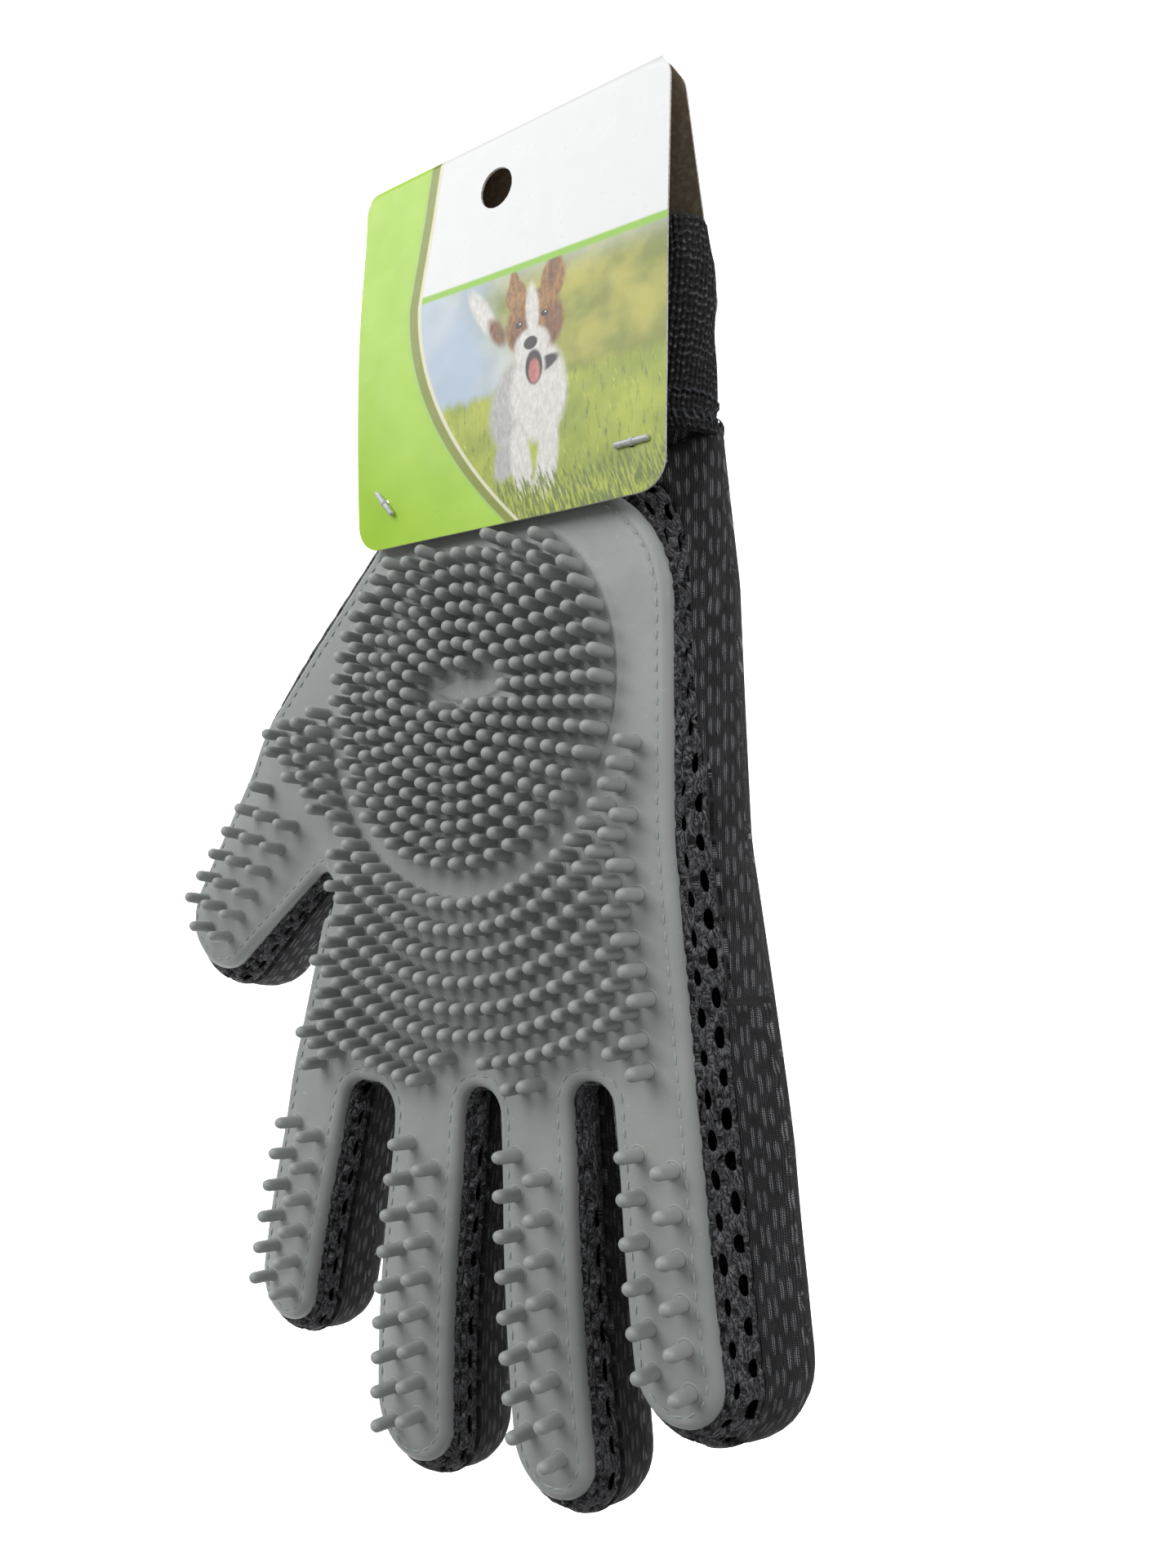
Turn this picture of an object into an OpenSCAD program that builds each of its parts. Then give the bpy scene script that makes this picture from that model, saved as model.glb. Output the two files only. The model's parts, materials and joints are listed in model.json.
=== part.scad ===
// Grooming glove for the right hand, hanging from its header card with the fingers down.
// X runs across the hand, Y from the rubber pad to the knit back, Z up towards the card.
// The row's origin is the middle of the hang hole. The hand itself is laid out in its own
// frame, whose origin is the middle of the ring of nubs in the palm, on the pad's front face.

/* [Rubber pad] */
// Thickness of the moulded rubber sheet
pad_t = 2.4; // [1.6:0.1:3]
// Height of the nubs above the sheet
nub_h = 6.6; // [4:0.1:8]
// Diameter of a nub
nub_d = 2.7; // [1.6:0.1:3]
// Distance from one ring of nubs to the next inside the circle
ring_step = 3.8; // [3.6:0.1:4.6]
// Distance from one arc of nubs to the next outside the circle
arc_step = 5.25; // [4.8:0.05:6]
// Distance between neighbouring nubs on one arc outside the circle
nub_pitch = 4.3; // [4:0.1:5.4]
// Radius of the raised line round the rings
circle_r = 38.2; // [37:0.1:39]
// Distance between nubs along a finger
finger_pitch = 7.5; // [6.5:0.1:9]
// Distance of a stitch line from the edge of the pad
stitch_inset = 2.6; // [2:0.1:3]

/* [Fabric] */
// Thickness of the fabric
fabric_t = 1.6; // [1.4:0.1:2]
// How far the fabric reaches past the edge of the pad
fabric_margin = 3.4; // [2.5:0.1:3.6]
// Depth of the glove from the fabric's front to the back
glove_depth = 23.5; // [20:0.5:26]
// Width of the cuff
cuff_w = 88; // [84:1:90]
// Height of the cuff
cuff_h = 38; // [36:1:42]

/* [Header card] */
// Width of the card
card_w = 82.6; // [76:0.2:84]
// Height of the front panel up to the fold
card_h = 84.4; // [80:0.2:86]
// Thickness of the card stock
card_t = 0.5; // [0.4:0.1:0.8]
// Diameter of the hang hole
hang_hole_d = 8.6; // [6:0.2:10]

/* [Joints] */
// Clearance between the palm's pieces and a finger's
joint_gap = 0.3; // [0.2:0.1:0.6]

/* [Hidden] */

big = 400;
arc_points = 8;

// Middle of the hang hole in the hand's frame
hang_x = 8;
hang_z = 105.4;

// Each finger: knuckle X and Z, lean to the right in degrees, half widths of the pad at the
// knuckle and at the tip, and the length of the pad past the knuckle
thumb = [-56.5, -19.7, -42.4, 17.7, 11.3, 54.6];
index = [-44.1, -91.8, -12.9, 9.9, 9.2, 51.7];
middle = [-8, -90, -6.1, 9.8, 11, 72.9];
ring = [19.95, -87.1, 2.6, 8.9, 9.9, 70.4];
little = [48.1, -82, 5.5, 9.2, 9.5, 52.4];
fingers = [thumb, index, middle, ring, little];

// Front face of the mesh panels and of the knit
mesh_y = pad_t;
knit_y = pad_t + fabric_t;
back_y = mesh_y + glove_depth;
// Height of the seam between the hand and the cuff, and the cuff's middle across the hand
cuff_seam_z = 49;
cuff_x = 9.5;
// Depth of the glove at the cuff seam
seam_back_y = 20;

pad_colour = [0.60, 0.62, 0.61];
mesh_colour = [0.13, 0.13, 0.15];
knit_colour = [0.19, 0.19, 0.22];
thread_colour = [0.45, 0.50, 0.50];
card_colour = [0.62, 0.80, 0.22];
clear_colour = [0.90, 0.92, 0.94];

// ---- Outlines: corners are [x, z, radius] ----

// A point of a finger's own frame, where the finger runs along -z, in the hand's frame
function at(f, x, z) = [
    f[0] + x * cos(f[2]) - z * sin(f[2]),
    f[1] + x * sin(f[2]) + z * cos(f[2])
];
function unit(v) = v / norm(v);
function turn(p, q) = p[0] * q[1] - p[1] * q[0];

// One corner of an outline as an arc that touches both sides
function corner_arc(before, corner, after, r) =
    let (u = unit(before - corner), v = unit(after - corner))
    let (half = acos(u * v) / 2, reach = r / tan(half))
    let (middle_dir = unit(u + v), centre = corner + middle_dir * r / sin(half))
    let (side = turn(u, v) > 0 ? 1 : -1)
    [for (i = [0 : arc_points])
        let (a = (90 - half) * (2 * i / arc_points - 1) * side)
        centre - r * [
            middle_dir[0] * cos(a) + middle_dir[1] * sin(a),
            middle_dir[1] * cos(a) - middle_dir[0] * sin(a)
        ]];
function xz(c) = [c[0], c[1]];
function rounded(corners) = let (n = len(corners)) [
    for (i = [0 : n - 1])
        each corner_arc(
            xz(corners[(i + n - 1) % n]), xz(corners[i]), xz(corners[(i + 1) % n]), corners[i][2])
];

// The two corners at a fingertip, right one first, moved out by m
function tip(f, m) =
    let (r = f[4] + m, right = at(f, r, -f[5] - m), left = at(f, -r, -f[5] - m))
    [[right[0], right[1], r * 0.98], [left[0], left[1], r * 0.98]];

// The whole hand, clockwise from the heel, grown by m beyond the pad's edge
function hand(m, heel) = rounded([
    each heel,
    [50.4 + m, -30, 60],
    [57 + m, -86, 60],
    each tip(little, m),
    [38.6 - m, -76.4 + m * 0.2, 4.6 - m],
    [28.8 + m, -76.4 + m * 0.2, 4.6 - m],
    each tip(ring, m),
    [11.4 - m, -81.2 + m * 0.2, 4.6 - m],
    [1.8 + m, -81.2 + m * 0.2, 4.6 - m],
    each tip(middle, m),
    [-18.2 - m, -84.4 + m * 0.2, 5.8 - m],
    [-33.4 + m, -84.4 + m * 0.2, 5.8 - m],
    each tip(index, m),
    [-53.3 - m, -88, 40],
    [-40.4 - m * 0.6, -33 - m * 0.8, 3.8 - m],
    each tip(thumb, m),
    [-70.5 - m * 0.8, -7 + m * 0.6, 40]
]);

// Each point moved in by d, across the line between its neighbours
function inset(points, d) = let (n = len(points)) [
    for (i = [0 : n - 1])
        let (along = unit(points[(i + 1) % n] - points[(i + n - 1) % n]))
        points[i] + d * [along[1], -along[0]]
];

// ---- Placing and cutting ----

// From the hand's frame to the row's frame
module place() {
    translate([-hang_x, -card_hang_y, -hang_z]) children();
}

// An outline in X and Z becomes a plate from y0 to y1
module plate(y0, y1) {
    translate([0, y1, 0]) rotate([90, 0, 0]) linear_extrude(y1 - y0) children();
}

// A profile in Y and Z becomes a bar along X
module bar(x0, x1) {
    translate([x0, 0, 0]) rotate([90, 0, 90]) linear_extrude(x1 - x0) children();
}

// The half plane past a finger's knuckle, as wide as its stall
module finger_zone(f, gap = 0) {
    wide = max(f[3], f[4]) + fabric_margin + 1.2;
    translate([f[0], f[1]])
        rotate(f[2])
            translate([-wide, -big / 4 + gap])
                square([wide * 2, big / 4]);
}
module only_finger(f) {
    intersection() {
        children();
        finger_zone(f, 0);
    }
}
module only_palm() {
    difference() {
        children();
        for (f = fingers) finger_zone(f, joint_gap);
    }
}

// ---- Rubber ----

module nub(p) {
    translate([p[0], 0, p[1]]) rotate([90, 0, 0]) {
        translate([0, 0, -pad_t / 2]) cylinder(d = nub_d, h = pad_t / 2 + nub_h - nub_d / 2, $fn = 16);
        intersection() {
            translate([0, 0, nub_h - nub_d * 0.62]) sphere(d = nub_d * 1.24, $fn = 16);
            cylinder(d = nub_d * 0.96, h = nub_h, $fn = 16);
        }
    }
}

// Distance from p to the side from a to b
function side_distance(p, a, b) =
    let (t = max(0, min(1, (p - a) * (b - a) / ((b - a) * (b - a)))))
    norm(p - a - t * (b - a));
function edge_distance(p, points) = let (n = len(points))
    min([for (i = [0 : n - 1]) side_distance(p, points[i], points[(i + 1) % n])]);
function crossings(p, points) = let (n = len(points)) len([
    for (i = [0 : n - 1])
        let (a = points[i], b = points[(i + 1) % n])
        if ((a[1] > p[1]) != (b[1] > p[1])
            && p[0] < a[0] + (p[1] - a[1]) * (b[0] - a[0]) / (b[1] - a[1])) i
]);
function well_inside(p, points, margin) =
    crossings(p, points) % 2 == 1 && edge_distance(p, points) > margin;

pad_outline = hand(0, [[-25, 40.5, 14], [48.6, 40.5, 28]]);
edge_clear = 6.6;
// Least distance of a nub from the pad's edge, which leaves room for the stitches
stitch_clear = stitch_inset + 1.7;
// Distance of the nubs from a knuckle, so that they don't meet when the finger curls
knuckle_clear = 4.8;

function ring_of_nubs(r, pitch, phase) = let (n = round(2 * PI * r / pitch)) [
    for (i = [0 : n - 1])
        let (a = 360 * (i + phase) / n)
        [r * cos(a), r * sin(a)]
];
// Inside the circle the nubs stand in rows to the right, a little wider apart further out
rings_inside = [for (k = [0 : 8])
    let (r = 5.8 + k * ring_step)
    each ring_of_nubs(r, 3.2 + 0.047 * r, 0)];
// The header card lies against the pad above this height, so no nub stands there
nub_top_z = 31.8;
// The smooth mark in the middle of the rings
function on_mark(p) = abs(p[0]) < 10.5 && abs(p[1] - 0.4) < 3.6;
arcs_outside = [for (k = [0 : 9]) each ring_of_nubs(44.4 + k * arc_step, nub_pitch, k % 2 / 2)];
function past_knuckle(p, f, by) = let (
    d = [p[0] - f[0], p[1] - f[1]],
    across = d[0] * cos(f[2]) + d[1] * sin(f[2]),
    along = d[0] * sin(f[2]) - d[1] * cos(f[2])
) along > by && abs(across) < f[3] + 4;
function palm_keeps(p) =
    well_inside(p, pad_outline, edge_clear)
    && len([for (f = fingers) if (past_knuckle(p, f, -knuckle_clear)) 1]) == 0;
palm_nubs = concat(
    [for (p = rings_inside)
        if (!on_mark(p) && p[1] < nub_top_z && well_inside(p, pad_outline, stitch_clear)) p],
    [for (p = arcs_outside) if (p[1] < 0 && palm_keeps(p)) p]
);
// Two columns along a finger, or three along the thumb, with every second one set down by a share of the pitch
function finger_nubs(f, columns, stagger) = let (
    first = 5.4,
    count = floor((f[5] - first - 4) / finger_pitch)
) [
    for (i = [0 : count], c = [0 : columns - 1])
        let (
            x = (c - (columns - 1) / 2) * (columns > 2 ? 6.6 : 7.2),
            z = -first - (i + (c % 2) * stagger) * finger_pitch,
            p = at(f, x, z)
        )
        if (well_inside(p, pad_outline, stitch_clear)) p
];

module palm_pad() {
    color(pad_colour) place() {
        plate(0, pad_t) only_palm() polygon(pad_outline);
        for (p = palm_nubs) nub(p);
        // The raised line stops short of the stitches
        plate(-0.25, pad_t / 2) intersection() {
            difference() {
                circle(r = circle_r + 0.3, $fn = 96);
                circle(r = circle_r - 0.3, $fn = 96);
            }
            polygon(inset(pad_outline, stitch_inset + 0.7));
        }
    }
}
module finger_pad(f, columns = 2, stagger = 0.45) {
    color(pad_colour) place() {
        plate(0, pad_t) only_finger(f) polygon(pad_outline);
        for (p = finger_nubs(f, columns, stagger)) nub(p);
    }
}

// ---- Thread ----

stitch_long = 2.3;
stitch_pitch = 3.1;
stitch_wide = 0.5;
stitch_high = 0.35;
stitch_line = inset(pad_outline, stitch_inset);
// Length of the line up to each of its points
function lengths(points, i = 0, sum = 0) = i == len(points)
    ? [sum]
    : concat([sum], lengths(points, i + 1, sum + norm(points[(i + 1) % len(points)] - points[i])));
line_lengths = lengths(stitch_line);
stitch_count = floor(line_lengths[len(stitch_line)] / stitch_pitch);
// Each stitch as [middle, direction]
stitches = [for (s = [0 : stitch_count - 1], i = [0 : len(stitch_line) - 1])
    let (d = (s + 0.5) * stitch_pitch)
    if (line_lengths[i] <= d && d < line_lengths[i + 1])
        let (
            a = stitch_line[i],
            b = stitch_line[(i + 1) % len(stitch_line)],
            way = unit(b - a)
        )
        [a + way * (d - line_lengths[i]), way]];
module stitch(s) {
    translate([s[0][0], -stitch_high / 2, s[0][1]])
        rotate([0, -atan2(s[1][1], s[1][0]), 0])
            cube([stitch_long, stitch_high, stitch_wide], center = true);
}
function on_finger(p, f) = past_knuckle(p, f, stitch_long);
function on_palm(p) = len([for (f = fingers) if (past_knuckle(p, f, -stitch_long)) 1]) == 0;
module palm_stitching() {
    color(thread_colour) place()
        for (s = stitches) if (on_palm(s[0])) stitch(s);
}
module finger_stitching(f) {
    color(thread_colour) place()
        for (s = stitches) if (on_finger(s[0], f)) stitch(s);
}

// ---- Fabric ----

cuff_left = cuff_x - cuff_w / 2;
cuff_right = cuff_x + cuff_w / 2;
// The glove's outline moved in by d
function glove(d) = hand(fabric_margin - d, [
    [cuff_left + d, cuff_seam_z - 3, 20],
    [cuff_left + d, cuff_seam_z + 20, 2],
    [cuff_right - d, cuff_seam_z + 20, 2],
    [cuff_right - 1 - d, cuff_seam_z - 4, 40]
]);
mesh_outline = glove(0);
module mesh_plate() {
    plate(mesh_y, knit_y) children();
}
module palm_mesh_panel() {
    color(mesh_colour) place() difference() {
        mesh_plate() intersection() {
            only_palm() polygon(mesh_outline);
            translate([-big / 2, cuff_seam_z - big]) square([big, big]);
        }
        tag_filament_holes();
    }
}
module finger_mesh_panel(f) {
    color(mesh_colour) place() mesh_plate() only_finger(f) polygon(mesh_outline);
}

// The glove from the side: full at the palm, slimmer at the cuff and the fingertips
module side_profile(in) {
    bar(-big / 2, big / 2) polygon([
        [-1, 80], [seam_back_y - in, 80], [seam_back_y - in, cuff_seam_z], [back_y - in, 20],
        [back_y - in, -110], [back_y - 5 - in, -180], [-1, -180]
    ]);
}
// The space inside the glove's outline, moved in by d all round except at the front
module glove_space(front, d) {
    intersection() {
        plate(front, back_y + 1) polygon(glove(d));
        side_profile(d);
    }
}
module knit_shell() {
    difference() {
        glove_space(knit_y, 0);
        glove_space(knit_y - 1, fabric_t);
    }
}
module hand_back_knit() {
    color(knit_colour) place() difference() {
        knit_shell();
        translate([-big / 2, -big / 2, cuff_seam_z]) cube(big);
        plate(0, big / 8) for (f = fingers) finger_zone(f, joint_gap);
        tag_filament_holes();
    }
}
module finger_knit_stall(f) {
    color(knit_colour) place() intersection() {
        knit_shell();
        plate(0, big / 8) finger_zone(f, 0);
    }
}

// The cuff's section, a flat oblong with round ends, between y0 and y1
function cuff_section(y0, y1, in) = let (r = min((y1 - y0) / 2 - in, 6.5)) rounded([
    [cuff_left + in, y0 + in, r],
    [cuff_left + in, y1 - in, r],
    [cuff_right - in, y1 - in, r],
    [cuff_right - in, y0 + in, r]
]);
// Levels of the cuff: [z, front y, back y]
cuff_levels = [
    [cuff_seam_z, mesh_y, seam_back_y],
    [cuff_seam_z + 8, mesh_y, seam_back_y],
    [cuff_seam_z + cuff_h, -3.2, 7.2]
];
module cuff_solid(in, past) {
    n = len(cuff_section(0, 20, in));
    loops = [for (i = [0 : 2])
        let (l = cuff_levels[i], z = l[0] + (i == 0 ? -past : i == 2 ? past : 0))
        [for (p = cuff_section(l[1], l[2], in)) [p[0], p[1], z]]];
    polyhedron(
        points = [for (l = loops) each l],
        faces = [
            [for (i = [n - 1 : -1 : 0]) i],
            for (k = [0 : 1], i = [0 : n - 1])
                let (a = k * n + i, b = k * n + (i + 1) % n)
                each [[a, b, b + n], [a, b + n, a + n]],
            [for (i = [0 : n - 1]) 2 * n + i]
        ]
    );
}
module cuff_band() {
    color(mesh_colour) place() difference() {
        cuff_solid(0, 0);
        cuff_solid(fabric_t, 0.5);
    }
}
// Two rows of cover stitch on the front and on the back of the cuff
module cuff_cover_stitch() {
    color(thread_colour) place()
        for (row = [0, 1], i = [-12 : 12]) {
            at_z = cuff_seam_z + 2.4 + row * 3;
            translate([cuff_x + i * 3, mesh_y - stitch_high / 2, at_z])
                cube([stitch_long, stitch_high, stitch_wide], center = true);
            translate([cuff_x + i * 3, seam_back_y + stitch_high / 2, at_z])
                cube([stitch_long, stitch_high, stitch_wide], center = true);
        }
}

// ---- Header card ----

card_left = -31.8;
card_bottom = 33.6;
// The back panel is short and ends behind the cuff
back_panel_bottom = 72;
fold_r = 2.2;
fold_z = card_bottom + card_h - fold_r;
// The row's origin lies in the front panel, so its middle line is at this depth by the hole
card_hang_y = -5;
// The middle line of the card from the side, [y, z], front panel first
card_line = [
    [-3.2, card_bottom],
    [-4.4, 62],
    [card_hang_y, 84],
    for (i = [0 : 7]) [card_hang_y + fold_r * (1 - cos(i * 20)), fold_z + fold_r * sin(i * 20)],
    [3.6, 104],
    [9.2, cuff_seam_z + cuff_h],
    [15.7, back_panel_bottom]
];
function along(points, i) = unit(points[min(i + 1, len(points) - 1)] - points[max(i - 1, 0)]);
function offset_line(points, d) = [
    for (i = [0 : len(points) - 1]) let (w = along(points, i)) points[i] + d * [-w[1], w[0]]
];
module band_of(points, t) {
    outer = offset_line(points, t / 2);
    inner = offset_line(points, -t / 2);
    polygon(concat(outer, [for (i = [len(inner) - 1 : -1 : 0]) inner[i]]));
}
tag_z = 43.4;
tag_xs = [-23, 43.4];
tag_hole_d = 2;
filament_d = 0.8;
module through_y(x, z, d) {
    translate([x, big / 4, z]) rotate([90, 0, 0]) cylinder(d = d, h = big / 2, $fn = 24);
}
module tag_filament_holes() {
    for (x = tag_xs) through_y(x, tag_z, filament_d + 0.6);
}
module header_card() {
    color(card_colour) place() difference() {
        intersection() {
            bar(card_left, card_left + card_w) band_of(card_line, card_t);
            plate(-big / 4, big / 4) polygon(rounded([
                [card_left, 140, 4], [card_left + card_w, 140, 4],
                [card_left + card_w, card_bottom, 6], [card_left, card_bottom, 6]
            ]));
        }
        translate([hang_x, big / 4, hang_z]) rotate([90, 0, 0])
            cylinder(d = hang_hole_d, h = big / 2, $fn = 48);
        for (x = tag_xs) through_y(x, tag_z, tag_hole_d);
    }
}

// A plastic thread through the front panel and the glove, with a cross bar at each end
bar_d = 1.1;
module tag_fastener(x, lean) {
    front = lookup(tag_z, [for (i = [0 : 1]) [card_line[i][1], card_line[i][0]]]) - 1;
    rear = lookup(tag_z, [[20, back_y], [cuff_seam_z, seam_back_y]]) + 1.3;
    color(clear_colour) place() translate([x, 0, tag_z]) {
        translate([0, rear, 0]) rotate([90, 0, 0]) cylinder(d = filament_d, h = rear - front, $fn = 24);
        for (y = [front, rear])
            translate([0, y, 0]) rotate([0, lean, 0]) rotate([0, 90, 0])
                cylinder(d = bar_d, h = 8, center = true, $fn = 24);
    }
}
module left_tag_fastener() {
    tag_fastener(tag_xs[0], 48);
}
module right_tag_fastener() {
    tag_fastener(tag_xs[1], 0);
}

module thumb_pad() {
    finger_pad(thumb, 3);
}
module index_pad() {
    finger_pad(index, stagger = 0.05);
}
module middle_pad() {
    finger_pad(middle);
}
module ring_pad() {
    finger_pad(ring);
}
module little_pad() {
    finger_pad(little, stagger = 0.3);
}

header_card();
left_tag_fastener();
right_tag_fastener();
palm_pad();
palm_mesh_panel();
hand_back_knit();
palm_stitching();
cuff_band();
cuff_cover_stitch();
thumb_pad();
finger_mesh_panel(thumb);  // thumb_mesh_panel
finger_knit_stall(thumb);  // thumb_knit_stall
finger_stitching(thumb);  // thumb_stitching
index_pad();
finger_mesh_panel(index);  // index_mesh_panel
finger_knit_stall(index);  // index_knit_stall
finger_stitching(index);  // index_stitching
middle_pad();
finger_mesh_panel(middle);  // middle_mesh_panel
finger_knit_stall(middle);  // middle_knit_stall
finger_stitching(middle);  // middle_stitching
ring_pad();
finger_mesh_panel(ring);  // ring_mesh_panel
finger_knit_stall(ring);  // ring_knit_stall
finger_stitching(ring);  // ring_stitching
little_pad();
finger_mesh_panel(little);  // little_mesh_panel
finger_knit_stall(little);  // little_knit_stall
finger_stitching(little);  // little_stitching
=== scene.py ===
import json
import math
import random

import bmesh
import bpy
import numpy as np
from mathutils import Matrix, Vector, noise
from mathutils.geometry import delaunay_2d_cdt


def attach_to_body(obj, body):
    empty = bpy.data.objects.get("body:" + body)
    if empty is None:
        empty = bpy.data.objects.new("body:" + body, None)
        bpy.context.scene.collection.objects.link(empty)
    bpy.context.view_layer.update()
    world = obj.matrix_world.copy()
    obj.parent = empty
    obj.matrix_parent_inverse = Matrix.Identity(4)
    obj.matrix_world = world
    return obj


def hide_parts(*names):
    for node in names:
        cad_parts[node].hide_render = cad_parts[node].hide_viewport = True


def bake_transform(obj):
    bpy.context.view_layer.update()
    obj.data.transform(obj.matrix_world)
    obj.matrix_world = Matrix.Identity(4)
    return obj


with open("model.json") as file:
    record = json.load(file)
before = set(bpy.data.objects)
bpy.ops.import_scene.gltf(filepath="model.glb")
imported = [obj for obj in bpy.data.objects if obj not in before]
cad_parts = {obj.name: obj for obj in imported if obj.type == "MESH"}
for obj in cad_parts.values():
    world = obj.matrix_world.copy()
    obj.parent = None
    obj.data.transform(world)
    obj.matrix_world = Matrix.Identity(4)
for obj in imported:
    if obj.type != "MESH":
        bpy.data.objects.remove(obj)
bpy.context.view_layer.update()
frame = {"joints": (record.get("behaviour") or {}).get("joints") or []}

# The glove is laid out in the hand's own frame, as in the CAD source: millimetres, with the origin
# in the middle of the ring of nubs, on the front face of the pad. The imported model's origin is the
# middle of the hang hole, and the index finger's knuckle places one frame in the other.
MM = 0.001
JOINTS = {joint["name"]: joint for joint in frame["joints"]}
INDEX_KNUCKLE = np.array([-44.1, 0.0, -91.8])
ROW_ORIGIN = INDEX_KNUCKLE - np.array(JOINTS["index_curl"]["pos_m"]) / MM

# Sizes in millimetres
PAD_T = 2.4
NUB_H = 6.6
# No nub stands behind the header card, above this height
NUB_TOP_Z = 31.8
# Least distances of a nub from the pad's edge inside the circle and outside it, and from a knuckle
STITCH_CLEAR = 4.3
EDGE_CLEAR = 6.6
KNUCKLE_CLEAR = 4.8
# From the knuckle to a finger's first nubs
FIRST_ROW = 5.4
# Radius of the first ring of nubs, and the distance from one ring to the next
RING_FIRST = 5.8
RING_STEP = 3.8
# The same for the arcs outside the circle
ARC_FIRST = 44.4
ARC_STEP = 5.25
NUB_PITCH = 4.3
CIRCLE_R = 38.2
FINGER_PITCH = 7.5
# How far the second column of a finger's nubs stands below the first, as a share of the pitch
STAGGER = {"thumb": 0.45, "index": 0.05, "middle": 0.45, "ring": 0.45, "little": 0.3}
STITCH_INSET = 2.6
STITCH_PITCH = 3.1
STITCH_LONG = 2.5
FABRIC_Y = 2.7
KNIT_T = 1.2
MESH_T = 0.8
CUFF_X = 9.5
CUFF_HALF = 44.0
CUFF_SEAM_Z = 49.0
CUFF_TOP_Z = 87.0
CARD_W = 82.6
CARD_T = 0.5
CARD_LEFT = -31.8
CARD_BOTTOM = 33.6
HOLE_R = 4.3
TAG_Z = 43.4
TAG_XS = (-23.0, 43.4)

# Half width of the pad at the knuckle and at the tip, and its length past the knuckle
FINGER_SIZES = {
    "thumb": (17.7, 11.3, 54.6),
    "index": (9.9, 9.2, 51.7),
    "middle": (9.8, 11.0, 72.9),
    "ring": (8.9, 9.9, 70.4),
    "little": (9.2, 9.5, 52.4),
}


class Finger:
    """A finger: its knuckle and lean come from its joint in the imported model."""

    def __init__(self, name, joint):
        self.name = name
        knuckle = np.array(joint["pos_m"]) / MM + ROW_ORIGIN
        self.x, self.z = knuckle[0], knuckle[2]
        self.cos, self.sin = -joint["axis"][0], -joint["axis"][2]
        self.root, self.end, self.length = FINGER_SIZES[name]

    def at(self, across, up):
        return (self.x + across * self.cos - up * self.sin, self.z + across * self.sin + up * self.cos)

    def local(self, x, z):
        """Distance across the finger, and distance along it past the knuckle."""
        dx, dz = x - self.x, z - self.z
        return dx * self.cos + dz * self.sin, dx * self.sin - dz * self.cos

    def row_point(self, along):
        x, z = self.at(0, -along)
        return tuple(to_row(np.array([x, 0.0, z])))


def to_row(points):
    return (points - ROW_ORIGIN) * MM


FINGERS = {name: Finger(name, JOINTS[name + "_curl"]) for name in FINGER_SIZES}


def smoothstep(value, low, high):
    t = np.clip((value - low) / (high - low), 0.0, 1.0)
    return t * t * (3 - 2 * t)


# ---------------------------------------------------------------- outlines

ARC_POINTS = 10


def corner_arc(before, corner, after, radius):
    """The corner as an arc that touches both sides."""
    u = (before - corner) / np.linalg.norm(before - corner)
    v = (after - corner) / np.linalg.norm(after - corner)
    half = math.acos(float(np.clip(u @ v, -1, 1))) / 2
    middle = (u + v) / np.linalg.norm(u + v)
    centre = corner + middle * radius / math.sin(half)
    side = 1 if u[0] * v[1] - u[1] * v[0] > 0 else -1
    arc = []
    for i in range(ARC_POINTS + 1):
        a = (math.pi / 2 - half) * (2 * i / ARC_POINTS - 1) * side
        spoke = (middle[0] * math.cos(a) + middle[1] * math.sin(a),
                 middle[1] * math.cos(a) - middle[0] * math.sin(a))
        arc.append(centre - radius * np.array(spoke))
    return arc


def rounded(corners):
    points = []
    count = len(corners)
    for i, (x, z, radius) in enumerate(corners):
        before = np.array(corners[i - 1][:2])
        after = np.array(corners[(i + 1) % count][:2])
        points += corner_arc(before, np.array((x, z)), after, radius)
    return np.array(points)


def tip(name, right, left, end):
    """The two rounded corners of a fingertip that is grown by right, left and end."""
    f = FINGERS[name]
    radius = 0.98 * (f.end + (right + left) / 2)
    down = -f.length - end
    return [(*f.at(f.end + right, down), radius), (*f.at(-f.end - left, down), radius)]


def hand(heel, out=0.0, gap=0.0, end=0.0, palm_side=0.0, little_side=0.0):
    """The whole hand, clockwise from the heel, grown by out outside and by gap between fingers."""
    return rounded([
        *heel,
        (50.4 + out + palm_side, -30, 60),
        (57 + out + little_side, -86, 60),
        *tip("little", out + little_side, gap, end),
        (38.6 - gap, -76.4 + gap * 0.2, 4.6 - gap),
        (28.8 + gap, -76.4 + gap * 0.2, 4.6 - gap),
        *tip("ring", gap, gap, end),
        (11.4 - gap, -81.2 + gap * 0.2, 4.6 - gap),
        (1.8 + gap, -81.2 + gap * 0.2, 4.6 - gap),
        *tip("middle", gap, gap, end),
        (-18.2 - gap, -84.4 + gap * 0.2, 5.8 - gap),
        (-33.4 + gap, -84.4 + gap * 0.2, 5.8 - gap),
        *tip("index", gap, out, end),
        (-53.3 - out, -88, 40),
        (-40.4 - out * 0.6, -33 - out * 0.8, max(0.8, 3.8 - out)),
        *tip("thumb", out, out, end),
        (-70.5 - out * 0.8, -7 + out * 0.6, 40),
    ])


PAD_BASE = hand([(-25, 40.5, 14), (48.6, 40.5, 28)])
FABRIC_BASE = hand(
    [(CUFF_X - CUFF_HALF + 0.8, 50, 0.3), (CUFF_X + CUFF_HALF - 0.8, 50, 0.3)],
    out=6.4, gap=4.1, end=5.5, palm_side=1.0, little_side=4.2)


def divided(points, counts):
    """Each side of the outline cut into counts equal pieces."""
    result = []
    for i, count in enumerate(counts):
        a, b = points[i], points[(i + 1) % len(points)]
        for k in range(count):
            result.append(a + (b - a) * k / count)
    return np.array(result)


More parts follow.
